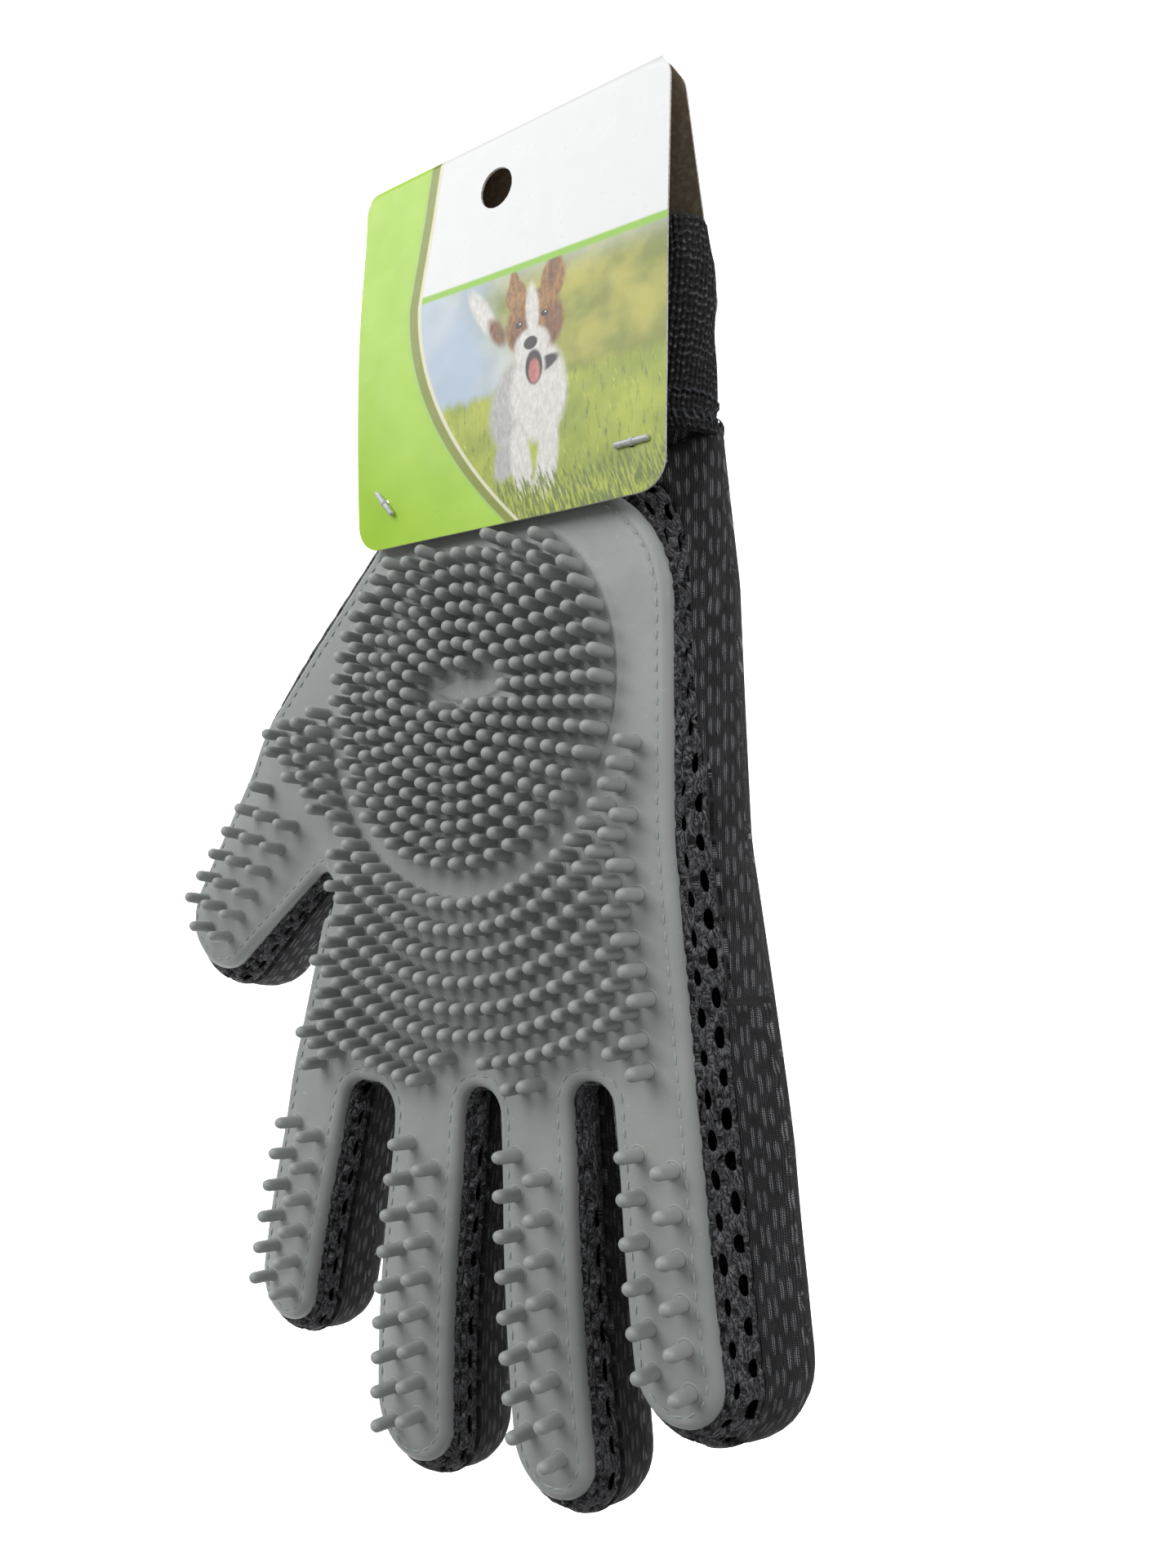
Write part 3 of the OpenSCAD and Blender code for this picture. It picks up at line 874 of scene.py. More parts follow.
def closed_plate(verts2, faces, front, back):
    """A plate between two heights given at each point, with walls round its edge."""
    count = len(verts2)
    top = np.column_stack([verts2[:, 0], front, verts2[:, 1]])
    bottom = np.column_stack([verts2[:, 0], back, verts2[:, 1]])
    sides = {}
    for a, b, c in faces:
        for edge in ((a, b), (b, c), (c, a)):
            sides[edge] = True
    walls = [(a, a + count, b + count, b) for a, b in sides if (b, a) not in sides]
    under = [(c + count, b + count, a + count) for a, b, c in faces]
    all_faces = [tuple(f) for f in faces] + under + walls
    return np.concatenate([top, bottom]), all_faces


def compact(verts, faces):
    used = np.unique(faces)
    index = np.full(len(verts), -1)
    index[used] = np.arange(len(used))
    return verts[used], index[faces], used


def ring_of_nubs(radius, pitch, phase):
    return circle(radius, round(2 * math.pi * radius / pitch), phase)


def nub_places():
    """Each body's nubs, by the same rule as the CAD source."""
    radii = [RING_FIRST + k * RING_STEP for k in range(9)]
    inner = [p for r in radii for p in ring_of_nubs(r, 3.2 + 0.047 * r, 0)]
    inner = [p for p in inner if not (abs(p[0]) < 10.5 and abs(p[1] - 0.4) < 3.6) and p[1] < NUB_TOP_Z]
    outer = [p for k in range(10) for p in ring_of_nubs(ARC_FIRST + k * ARC_STEP, NUB_PITCH, k % 2 / 2)]
    outer = [p for p in outer if p[1] < 0]
    places = {"hand": []}
    for group, margin in ((inner, STITCH_CLEAR), (outer, EDGE_CLEAR)):
        points = np.array(group)
        keep = inside(points, PAD_LINE) & (from_edge(points, PAD_LINE) > margin)
        if group is outer:
            for f in FINGERS.values():
                across, along = f.local(points[:, 0], points[:, 1])
                keep &= ~((along > -KNUCKLE_CLEAR) & (np.abs(across) < f.root + 4))
        places["hand"] += [tuple(p) for p in points[keep]]
    for f in FINGERS.values():
        columns = 3 if f.name == "thumb" else 2
        spacing = 6.6 if columns == 3 else 7.2
        points = []
        for i in range(int((f.length - FIRST_ROW - 4) // FINGER_PITCH) + 1):
            for c in range(columns):
                down = FIRST_ROW + (i + (c % 2) * STAGGER[f.name]) * FINGER_PITCH
                points.append(f.at((c - (columns - 1) / 2) * spacing, -down))
        points = np.array(points)
        keep = inside(points, PAD_LINE) & (from_edge(points, PAD_LINE) > STITCH_CLEAR)
        places[f.name] = [tuple(p) for p in points[keep]]
    return places


# A nub's outline as (radius, height): a collar, a fillet, a slightly tapered stem and a dome
NUB_PROFILE = [
    (1.95, -0.25), (1.92, 0.06), (1.80, 0.17), (1.64, 0.16), (1.52, 0.05), (1.44, 0.08), (1.40, 0.35),
    (1.38, 1.2), (1.36, 3.0), (1.34, 4.9), (1.30, 5.4), (1.18, 5.86), (0.96, 6.22), (0.66, 6.46), (0.34, 6.57),
]
NUB_SIDES = 16


def add_nub(verts, faces, x, z, turn):
    """One nub as a closed form, rooted in the pad."""
    first = len(verts)
    for radius, height in NUB_PROFILE:
        for k in range(NUB_SIDES):
            a = 2 * math.pi * k / NUB_SIDES + turn
            verts.append((x + radius * math.cos(a), -height, z + radius * math.sin(a)))
    verts.append((x, 0.25, z))
    verts.append((x, -NUB_H, z))
    rings = len(NUB_PROFILE)
    for r in range(rings - 1):
        for k in range(NUB_SIDES):
            a = first + r * NUB_SIDES + k
            b = first + r * NUB_SIDES + (k + 1) % NUB_SIDES
            faces.append((a, b, b + NUB_SIDES, a + NUB_SIDES))
    root, top = first + rings * NUB_SIDES, first + rings * NUB_SIDES + 1
    last = first + (rings - 1) * NUB_SIDES
    for k in range(NUB_SIDES):
        after = (k + 1) % NUB_SIDES
        faces.append((root, first + after, first + k))
        faces.append((top, last + k, last + after))


def rubber_pads():
    verts2, faces = pad_plate()
    owner = owner_of(verts2[faces].mean(axis=1))
    places = nub_places()
    rng = random.Random(7)
    for body in BODIES:
        own2, own_faces, _ = compact(verts2, faces[owner == body])
        back = np.full(len(own2), PAD_T)
        plate_verts, plate_faces = closed_plate(own2, own_faces, pad_front(own2), back)
        verts = [tuple(p) for p in plate_verts]
        mesh_faces = list(plate_faces)
        for x, z in places[body]:
            add_nub(verts, mesh_faces, x, z, rng.uniform(0, math.pi))
        name = "palm" if body == "hand" else body
        piece = make_object(f"rubber_{name}_pad", shaped(verts), mesh_faces, [RUBBER])
        face_outwards(piece)
        sharpen(piece, 62)
        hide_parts(f"{name}_pad")
        attach(piece, body)


# ---------------------------------------------------------------- stitches

def walk(line, pitch, start=0.5):
    """Places along a closed line, pitch apart, each with its direction."""
    nexts = np.roll(line, -1, axis=0)
    lengths = np.linalg.norm(nexts - line, axis=1)
    ends = np.cumsum(lengths)
    places = []
    for k in range(int(ends[-1] / pitch)):
        d = (k + start) * pitch
        i = int(np.searchsorted(ends, d))
        t = 1 - (ends[i] - d) / lengths[i]
        places.append((line[i] + (nexts[i] - line[i]) * t, (nexts[i] - line[i]) / lengths[i]))
    return places


def add_stitch(verts, faces, weave, middle, along, up, length, radius, rise):
    """A short arched length of thread with its ends sunk in. middle, along and up are in three axes."""
    side = np.cross(along, up)
    first = len(verts)
    steps, sides = 7, 8
    for i in range(steps + 1):
        t = i / steps * 2 - 1
        taper = radius * (1 - 0.35 * t * t)
        centre = middle + along * (t * length / 2) + up * (rise * (1 - t * t) - radius * 1.5 * t ** 4)
        for k in range(sides):
            a = 2 * math.pi * k / sides
            verts.append(tuple(centre + side * (taper * math.cos(a)) + up * (taper * 0.8 * math.sin(a))))
            weave.append((t * length / 2, radius * a))
    for i in range(steps):
        for k in range(sides):
            a = first + i * sides + k
            b = first + i * sides + (k + 1) % sides
            faces.append((a, b, b + sides, a + sides))
    faces.append(tuple(first + k for k in reversed(range(sides))))
    faces.append(tuple(first + steps * sides + k for k in range(sides)))


def stitch_line():
    line = PAD_LINE + inward_normals(PAD_LINE) * STITCH_INSET
    return line[from_edge(line, PAD_LINE) > STITCH_INSET - 0.1]


def pad_stitching():
    groups = {body: ([], [], []) for body in BODIES}
    rng = random.Random(11)
    places = walk(stitch_line(), STITCH_PITCH)
    middles = np.array([p for p, _ in places])
    front = pad_front(middles)
    reach = {}
    for body in FINGERS:
        f = FINGERS[body]
        owner = owner_of(middles + np.array([f.sin, -f.cos]) * STITCH_LONG * 0.6)
        reach[body] = owner == body
    for i, (middle, way) in enumerate(places):
        body = next((b for b in FINGERS if reach[b][i]), "hand")
        verts, faces, weave = groups[body]
        drift = rng.uniform(-0.12, 0.12)
        tilt = rng.uniform(-0.07, 0.07)
        along = np.array([way[0] * math.cos(tilt) - way[1] * math.sin(tilt), 0,
                          way[1] * math.cos(tilt) + way[0] * math.sin(tilt)])
        centre = np.array([middle[0] - way[1] * drift, front[i] + 0.02, middle[1] + way[0] * drift])
        add_stitch(verts, faces, weave, centre, along, np.array([0.0, -1.0, 0.0]),
                   STITCH_LONG * rng.uniform(0.92, 1.08), 0.24, 0.16)
    for body, (verts, faces, weave) in groups.items():
        name = "palm" if body == "hand" else body
        piece = make_object(f"thread_{name}_stitches", shaped(verts), faces, [GREY_THREAD], weave)
        face_outwards(piece)
        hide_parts(f"{name}_stitching")
        attach(piece, body)


# ---------------------------------------------------------------- fabric

def rim_depth(z):
    """Y where the glove is widest, and Y of its back, at each height."""
    back = np.interp(z, [-180, -110, 20, 50], [21.5, 25.6, 25.4, 19.2])
    return FABRIC_Y + 0.56 * (back - FABRIC_Y), back


def heel_ease(points):
    """0 along the open top edge, rising to 1 at its two corners and all round the hand."""
    left, right = CUFF_X - CUFF_HALF + 0.8, CUFF_X + CUFF_HALF - 0.8
    from_corner = np.minimum(points[:, 0] - left, right - points[:, 0])
    on_top = smoothstep(points[:, 1], 38, 46)
    return 1 - on_top * smoothstep(from_corner, 0, 9)


SEAM_OUT = 5.2


def seam_shares():
    """Where the seam between mesh and knit lies on the way from the pad's edge to the widest line."""
    reach = np.linalg.norm(FABRIC_LINE - PAD_LINE, axis=1)
    return np.minimum(SEAM_OUT / np.maximum(reach, 1e-6), 0.62)


SEAM_SHARE = seam_shares()
SEAM_LINE = PAD_LINE + (FABRIC_LINE - PAD_LINE) * SEAM_SHARE[:, None]
SEAM_Y = 5.9


def mesh_height(share):
    """Y across the mesh strip: share is 0 at the pad's edge and 1 at the seam."""
    return FABRIC_Y + (SEAM_Y - FABRIC_Y) * np.clip(share, 0, 1) ** 1.9


def knit_height(share, rim):
    """Y up the side wall: share is 0 at the seam and 1 at the widest line."""
    lip = -0.9 * np.exp(-((share - 0.10) / 0.08) ** 2)
    round_part = 1 - np.sqrt(np.maximum(1 - share ** 2, 0))
    return SEAM_Y + 0.4 + lip + (rim - SEAM_Y - 0.4) * (0.55 * round_part + 0.45 * share)


def folds(points, amount):
    """Soft folds of an empty glove, strongest across the knuckles."""
    result = np.array([noise.noise(Vector((x / 21, z / 30, 0.3))) for x, z in points]) * 1.3
    result += np.array([noise.noise(Vector((x / 8, z / 13, 7.3))) for x, z in points]) * 0.55
    for f in FINGERS.values():
        across, along = f.local(points[:, 0], points[:, 1])
        near = smoothstep(f.root + 9 - np.abs(across), 0, 5)
        for at_along, depth in ((1.0, 1.0), (25.0, 0.75), (44.0, 0.5)):
            wave = along - at_along - 1.6 * np.sin(across / 4.5 + at_along)
            result += near * depth * np.exp(-(wave / 2.2) ** 2)
    return result * amount


def wall_grid():
    """The knit from the seam to the widest line: rows of points that follow the outline."""
    shares = np.array([0.0, 0.05, 0.11, 0.18, 0.27, 0.38, 0.5, 0.63, 0.75, 0.86, 0.94, 0.985, 1.0])
    arc = np.concatenate([[0], np.cumsum(side_lengths(FABRIC_LINE))])[:-1]
    rows, weave = [], []
    rim, _ = rim_depth(FABRIC_LINE[:, 1])
    ease = heel_ease(FABRIC_LINE)
    for share in shares:
        flat = SEAM_LINE + (FABRIC_LINE - SEAM_LINE) * share
        side_y = knit_height(share, rim)
        y = FABRIC_Y + (side_y - FABRIC_Y) * ease
        rows.append(np.column_stack([flat[:, 0], y, flat[:, 1]]))
        along_edge = np.column_stack([np.full(LINE_COUNT, share * 14.0), arc])
        upright = np.column_stack([flat[:, 0] + y, flat[:, 1]])
        outer = (FABRIC_LINE[:, 0] > 20) & (FABRIC_LINE[:, 1] > -60)
        weave.append(np.where(outer[:, None], upright, along_edge))
    return rows, weave


BACK_STEPS = (0.5, 1.2, 2.1, 3.2, 4.5, 6.0, 8.0, 10.5)
BACK_ROUND = 10.5


def back_height(points):
    side_starts, side_ends = open_sides(FABRIC_LINE)
    e = distance_to(points, side_starts, side_ends)
    rim, back = rim_depth(points[:, 1])
    s = np.clip(e / BACK_ROUND, 0, 1)
    dome = np.sqrt(1 - (1 - s) ** 2)
    return rim + (back - rim) * dome - folds(points, 1.0) * smoothstep(e, 0.5, 7)


def open_sides(line):
    """The sides of the fabric's outline without the open top edge."""
    starts, ends = line, np.roll(line, -1, axis=0)
    keep = ~((starts[:, 1] > 49.9) & (ends[:, 1] > 49.9))
    return starts[keep], ends[keep]


def back_sheet():
    sets = [FABRIC_LINE]
    for d in BACK_STEPS:
        sets.append(inset_points(FABRIC_LINE, d))
    filler = grid(2.3, FABRIC_LINE.min(axis=0), FABRIC_LINE.max(axis=0))
    filler = filler[inside(filler, FABRIC_LINE)]
    sets.append(filler[from_edge(filler, FABRIC_LINE) > 11.5])
    points = np.concatenate(sets)
    return triangulated(points, [list(range(LINE_COUNT))], knuckle_cuts(), FABRIC_LINE)


def knit_shell():
    """The knit's outer surface as points, faces and weave coordinates, before it is cut up."""
    verts2, faces = back_sheet()
    verts = [np.column_stack([verts2[:, 0], back_height(verts2), verts2[:, 1]])]
    weave = [verts2.copy()]
    all_faces = [tuple(f) for f in faces]
    rows, row_weave = wall_grid()
    first = len(verts2)
    for r in range(len(rows) - 1):
        for i in range(LINE_COUNT):
            j = (i + 1) % LINE_COUNT
            a, b = first + r * LINE_COUNT + i, first + r * LINE_COUNT + j
            all_faces.append((a, b, b + LINE_COUNT, a + LINE_COUNT))
    verts += rows
    weave += row_weave
    return np.concatenate(verts), all_faces, np.concatenate(weave)


def cut_by_knuckles(piece):
    """Edges along every knuckle line, so that the cloth can be parted there."""
    bm = bmesh.new()
    bm.from_mesh(piece.data)
    bmesh.ops.remove_doubles(bm, verts=bm.verts, dist=0.02 * MM)
    for f in FINGERS.values():
        start, onward = Vector(f.row_point(0)), Vector(f.row_point(10))
        near = []
        for face in bm.faces:
            centre = face.calc_center_median() / MM
            flat = np.array([[centre.x + ROW_ORIGIN[0], centre.z + ROW_ORIGIN[2]]])
            across, along = f.local(flat[0, 0], flat[0, 1])
            if abs(along) < 4 and abs(across) < 32:
                probe = np.array(f.at(across, -0.5))[None, :]
                if owner_of(probe)[0] == f.name:
                    near.append(face)
        edges = dict.fromkeys(edge for face in near for edge in face.edges)
        corners = dict.fromkeys(corner for face in near for corner in face.verts)
        bmesh.ops.bisect_plane(bm, geom=[*near, *edges, *corners], plane_co=start,
                               plane_no=(onward - start).normalized(), dist=1e-7)
    bm.to_mesh(piece.data)
    bm.free()


def split_by_body(piece):
    """One object per body, from the faces past each knuckle."""
    mesh = piece.data
    centres = np.array([p.center for p in mesh.polygons]) / MM
    flat = centres[:, [0, 2]] + ROW_ORIGIN[[0, 2]]
    owner = owner_of(flat)
    parts = {}
    for body in BODIES:
        copy = piece.copy()
        copy.data = mesh.copy()
        bpy.context.scene.collection.objects.link(copy)
        bm = bmesh.new()
        bm.from_mesh(copy.data)
        bm.faces.ensure_lookup_table()
        doomed = [bm.faces[i] for i in np.nonzero(owner != body)[0]]
        bmesh.ops.delete(bm, geom=doomed, context="FACES")
        bm.to_mesh(copy.data)
        bm.free()
        parts[body] = copy
    bpy.data.objects.remove(piece)
    return parts


def shape_mesh(piece):
    """Give the finished flat layout the shape of the hanging hand."""
    mesh = piece.data
    co = np.zeros(len(mesh.vertices) * 3)
    mesh.vertices.foreach_get("co", co)
    points = shaped(co.reshape(-1, 3) / MM + ROW_ORIGIN)
    mesh.vertices.foreach_set("co", to_row(points).ravel())
    mesh.update()


def knit():
    verts, faces, weave = knit_shell()
    whole = make_object("knit", verts, faces, [KNIT], weave)
    weld(whole)
    cut_by_knuckles(whole)
    shape_mesh(whole)
    for body, piece in split_by_body(whole).items():
        piece.name = "knit_hand_back" if body == "hand" else f"knit_{body}_stall"
        thicken(piece, KNIT_T, -1)
        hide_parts("hand_back_knit" if body == "hand" else f"{body}_knit_stall")
        attach(piece, body)


HOLE_PITCH = 7.0
HOLE_COLUMNS = 3
STRIP_UNDER = 0.16


def between_fingers(point):
    """True where two fingers or the thumb and a finger stand side by side."""
    near = 0
    for f in FINGERS.values():
        across, along = f.local(point[0], point[1])
        near += along > -8 and abs(across) < f.root + 8.5
    return near > 1


def mesh_lattice():
    """The strip of mesh as rows of oval holes: points, faces, weave coordinates and each face's cell."""
    lengths = side_lengths(PAD_LINE + (SEAM_LINE - PAD_LINE) * 0.6)
    arc = np.concatenate([[0], np.cumsum(lengths)])
    total = arc[-1]
    count = int(total // HOLE_PITCH)
    pitch = total / count
    extended = np.arange(LINE_COUNT + 1)

    def place(s, share):
        """The point at arc length s, and at a share of the way from the pad's edge to the seam."""
        index = np.interp(s % total, arc, extended)
        low = int(index) % LINE_COUNT
        high = (low + 1) % LINE_COUNT
        t = index - int(index)
        pad = PAD_LINE[low] * (1 - t) + PAD_LINE[high] * t
        seam = SEAM_LINE[low] * (1 - t) + SEAM_LINE[high] * t
        return pad + (seam - pad) * share

    verts, weave, faces, middles = [], [], [], []
    across_steps, along_steps = 3, 8
    width = (1 + STRIP_UNDER) / (HOLE_COLUMNS - 0.5)
    rng = random.Random(5)
    for column in range(HOLE_COLUMNS):
        low_share = -STRIP_UNDER + (column - 0.5) * width
        high_share = low_share + width
        for cell in range(count):
            start = (cell + (column % 2) * 0.5) * pitch
            along = [pitch * k / along_steps for k in range(along_steps)]
            across = [width * k / across_steps for k in range(across_steps)]
            border = [(start + d, low_share) for d in along]
            border += [(start + pitch, low_share + d) for d in across]
            border += [(start + pitch - d, high_share) for d in along]
            border += [(start, high_share - d) for d in across]
            centre_s = start + pitch / 2
            centre_share = low_share + width / 2 + rng.uniform(-0.02, 0.02)
            tall = pitch * 0.31 * rng.uniform(0.85, 1.10)
            wide = width * 0.46 * rng.uniform(0.88, 1.08)
            first = len(verts)
            rings = []
            middle = place(centre_s, centre_share)
            closed = between_fingers(middle)
            if closed:
                tall, wide = 0.3, 0.04
            for grow, sink in ((None, 0.0), (1.22, 0.0), (1.0, 0.0 if closed else 0.3)):
                for s, share in border:
                    if grow is not None:
                        a = math.atan2((share - centre_share) / wide * 0.62, (s - centre_s) / tall)
                        s = centre_s + tall * grow * math.cos(a)
                        share = centre_share + wide * grow * math.sin(a)
                    share = min(max(share, -STRIP_UNDER), 1.0)
                    rings.append((s, share, sink))
            for s, share, sink in rings:
                flat = place(s, share)
                verts.append((flat[0], float(mesh_height(share)) + sink, flat[1]))
                weave.append((share * 6.0, s))
            n = len(border)
            for r in range(2):
                for k in range(n):
                    a, b = first + r * n + k, first + r * n + (k + 1) % n
                    faces.append((a, b, b + n, a + n))
                    middles.append(middle)
            if closed:
                low = first + 2 * n
                for k in range(n // 2 - 1):
                    faces.append((low + k, low + k + 1, low + n - 2 - k, low + n - 1 - k))
                    middles.append(middle)
    return np.array(verts), faces, np.array(weave), np.array(middles)


def mesh_panels():
    """Flat mesh under the pad, and the open strip of mesh round it."""
    hidden_line = PAD_LINE + inward_normals(PAD_LINE) * 0.9
    hidden_line = hidden_line[from_edge(hidden_line, PAD_LINE) > 0.8]
    filler = grid(5.0, hidden_line.min(axis=0), hidden_line.max(axis=0))
    filler = filler[inside(filler, hidden_line)]
    filler = filler[from_edge(filler, hidden_line) > 3]
    verts2, faces = triangulated(np.concatenate([hidden_line, filler]), [list(range(len(hidden_line)))],
                                 knuckle_cuts(), hidden_line)
    owner = owner_of(verts2[faces].mean(axis=1))
    strip_verts, strip_faces, strip_weave, middles = mesh_lattice()
    strip_body = strip_bodies(middles)
    ease = heel_ease(strip_verts[:, [0, 2]])
    strip_verts[:, 1] = FABRIC_Y + (strip_verts[:, 1] - FABRIC_Y) * ease
    for body in BODIES:
        name = "palm" if body == "hand" else body
        own, own_faces, _ = compact(verts2, faces[owner == body])
        plate_verts, plate_faces = closed_plate(own, own_faces, np.full(len(own), FABRIC_Y - 0.15),
                                                np.full(len(own), FABRIC_Y + MESH_T))
        mine = [f for f, b in zip(strip_faces, strip_body) if b == body]
        lattice_verts, lattice_faces, used = compact(strip_verts, np.array(mine))
        lattice = make_object(f"mesh_{name}_panel", shaped(lattice_verts), lattice_faces, [MESH],
                              strip_weave[used])
        tidy_lattice(lattice)
        thicken(lattice, MESH_T, 1, sharp=False)
        face_outwards(lattice)
        plate = make_object("plate", shaped(plate_verts), plate_faces, [MESH], plate_verts[:, [0, 2]])
        face_outwards(plate)
        join(lattice, plate)
        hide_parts(f"{name}_mesh_panel")
        attach(lattice, body)


CELL_REACH = 3.9


def strip_bodies(middles):
    """A cell belongs to a finger if any of it is past the knuckle."""
    body = owner_of(middles)
    for f in FINGERS.values():
        shifted = middles + np.array([f.sin, -f.cos]) * CELL_REACH
        past = owner_of(shifted)
        body[(past == f.name) & (body == "hand")] = f.name
    return body


def tidy_lattice(piece):
    """Weld the cells, and drop the slivers where cells were clipped at the strip's edges."""
    bm = bmesh.new()
    bm.from_mesh(piece.data)
    bmesh.ops.remove_doubles(bm, verts=bm.verts, dist=0.02 * MM)
    bmesh.ops.dissolve_degenerate(bm, edges=bm.edges, dist=0.01 * MM)
    flat = [face for face in bm.faces if face.calc_area() < 1e-3 * MM * MM]
    bmesh.ops.delete(bm, geom=flat, context="FACES")
    bmesh.ops.recalc_face_normals(bm, faces=bm.faces)
    if sum(face.normal.y for face in bm.faces) > 0:
        bmesh.ops.reverse_faces(bm, faces=bm.faces)
    bm.to_mesh(piece.data)
    bm.free()


def join(piece, *others):
    """Add the others' meshes to the piece."""
    bm = bmesh.new()
    bm.from_mesh(piece.data)
    for other in others:
        bm.from_mesh(other.data)
    bm.to_mesh(piece.data)
    bm.free()
    for other in others:
        mesh = other.data
        bpy.data.objects.remove(other)
        bpy.data.meshes.remove(mesh)


# ---------------------------------------------------------------- cuff

RIB_PITCH = 1.05
RIB_STEPS = 6


def cuff_section(z, inset):
    """The cuff's flat, round-ended section at a height, as a closed line of points in X and Y."""
    front = np.interp(z, [49, 57, 87], [2.4, 2.2, -3.2]) + inset
    back = np.interp(z, [49, 57, 87], [20.0, 18.6, 7.4]) - inset
    bulge = np.interp(z, [47, 53, 60, 70, 80, 87], [-0.6, -2.4, -1.6, -0.2, 0.6, -0.2])
    half = CUFF_HALF + bulge - inset
    radius = (back - front) / 2
    straight = half - radius
    steps = np.linspace(0, 1, 60, endpoint=False)
    left, right = CUFF_X - straight, CUFF_X + straight
    middle = (front + back) / 2
    turns = [(radius * math.sin(math.pi * t), radius * math.cos(math.pi * t)) for t in steps]
    loop = [(right + (left - right) * t, front) for t in steps]
    loop += [(left - out, middle - up) for out, up in turns]
    loop += [(left + (right - left) * t, back) for t in steps]
    loop += [(right + out, middle + up) for out, up in turns]
    return np.array(loop)


def outward_normals(loop):
    out = -inward_normals(loop)
    return out if np.sum(out * (loop - loop.mean(axis=0))) > 0 else -out


def resampled(loop, count):
    lengths = np.concatenate([[0], np.cumsum(side_lengths(loop))])
    closed = np.concatenate([loop, loop[:1]])
    at = np.linspace(0, lengths[-1], count, endpoint=False)
    return np.column_stack([np.interp(at, lengths, closed[:, 0]), np.interp(at, lengths, closed[:, 1])])


def cuff():
    rib_count = round(side_lengths(cuff_section(70, 0)).sum() / RIB_PITCH)
    columns = rib_count * RIB_STEPS
    wall = 1.7
    bottom, top = CUFF_SEAM_Z - 1.0, CUFF_TOP_Z - 0.8
    outer = [(z, 0.0, 1.0) for z in np.linspace(bottom, top, 44)]
    rim = [(top + 0.55, 0.25, 0.9), (top + 0.8, 0.85, 0.5), (top + 0.55, 1.45, 0.3)]
    inner = [(z, wall, 0.3) for z in np.linspace(top, bottom, 24)]
    levels = outer + rim + inner
    turn = np.arange(columns)
    rib = np.abs(np.sin(math.pi * turn / RIB_STEPS)) ** 0.8
    verts, weave = [], []
    for z, inset, depth in levels:
        loop = resampled(cuff_section(z, inset), columns)
        out = outward_normals(loop)
        wave = 0.35 * np.sin(turn * 2 * math.pi / columns * 5 + z / 9)
        wave += 0.2 * np.sin(turn * 0.11 + z / 3.5)
        pinch = -0.5 * math.exp(-((z - 52.6) / 1.0) ** 2) + 0.35 * math.exp(-((z - 50.2) / 0.9) ** 2)
        push = (0.36 * rib * depth + wave * smoothstep(z, 50, 60) + pinch)[:, None]
        moved = loop + out * push
        verts.append(np.column_stack([moved[:, 0], moved[:, 1], np.full(columns, z)]))
        weave.append(np.column_stack([turn * RIB_PITCH / RIB_STEPS, np.full(columns, z)]))
    count = len(levels)
    faces = []
    for r in range(count):
        for k in range(columns):
            a, b = r * columns + k, r * columns + (k + 1) % columns
            c, d = ((r + 1) % count) * columns + (k + 1) % columns, ((r + 1) % count) * columns + k
            faces.append((a, b, c, d))
    piece = make_object("elastic_cuff", np.concatenate(verts), faces, [ELASTIC], np.concatenate(weave))
    face_outwards(piece)
    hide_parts("cuff_band")
    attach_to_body(piece, "hand")


def cuff_stitches():
    """Two rows of slanted cover stitch round the foot of the cuff."""
    verts, faces, weave = [], [], []
    rng = random.Random(3)
    for z, pitch, length, lean, radius in ((50.6, 1.8, 2.6, 68, 0.3), (55.4, 1.9, 1.9, 20, 0.27)):
        loop = cuff_section(z, 0)
        out_all = outward_normals(loop)
        for middle, way in walk(loop, pitch):
            nearest = int(np.argmin(np.hypot(*(loop - middle).T)))
            out = np.array([out_all[nearest][0], out_all[nearest][1], 0])
            a = math.radians(lean + rng.uniform(-8, 8))
            along = np.array([way[0] * math.cos(a), way[1] * math.cos(a), math.sin(a)])
            centre = np.array([middle[0], middle[1], z]) + out * (0.62 if z < 52 else 0.3)
            add_stitch(verts, faces, weave, centre, along, out, length, radius, 0.22)
    piece = make_object("thread_cuff_cover_stitch", np.array(verts), faces, [DARK_THREAD], weave)
    face_outwards(piece)
    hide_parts("cuff_cover_stitch")
    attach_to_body(piece, "hand")


# ---------------------------------------------------------------- header card

# Middle of the card's thickness from the side, as Y and Z, front panel first
CARD_FRONT = [
    (-3.2, 33.6), (-3.9, 48), (-4.4, 62), (-4.8, 74), (-5.0, 84), (-5.0, 94), (-5.0, 105.4), (-5.0, 112),
]
CARD_BACK = [(0.4, 113.2), (3.4, 104), (6.4, 95), (9.2, 87), (12.6, 79), (15.7, 72)]
FOLD_R = 2.2
FOLD_Z = 115.8
FOLD_NOTCH = 3.4


def card_curve():
    """The card's line from the side, as closely spaced points, with the length up to each."""
    turns = [math.radians(a) for a in range(0, 146, 12)]
    fold = [(-5.0 + FOLD_R * (1 - math.cos(a)), FOLD_Z + FOLD_R * math.sin(a)) for a in turns]
    knots = np.array(CARD_FRONT + fold + CARD_BACK)
    before = 2 * knots[0] - knots[1]
    after = 2 * knots[-1] - knots[-2]
    padded = np.vstack([before, knots, after])
    points = []
    for i in range(1, len(padded) - 2):
        p0, p1, p2, p3 = padded[i - 1:i + 3]
        steps = max(2, int(np.linalg.norm(p2 - p1) / 0.4))
        for k in range(steps):
            t = k / steps
            points.append(0.5 * (2 * p1 + (p2 - p0) * t + (2 * p0 - 5 * p1 + 4 * p2 - p3) * t * t
                                 + (3 * p1 - p0 - 3 * p2 + p3) * t ** 3))
    points.append(padded[-2])
    points = np.array(points)
    lengths = np.concatenate([[0], np.cumsum(np.linalg.norm(np.diff(points, axis=0), axis=1))])
    return points, lengths


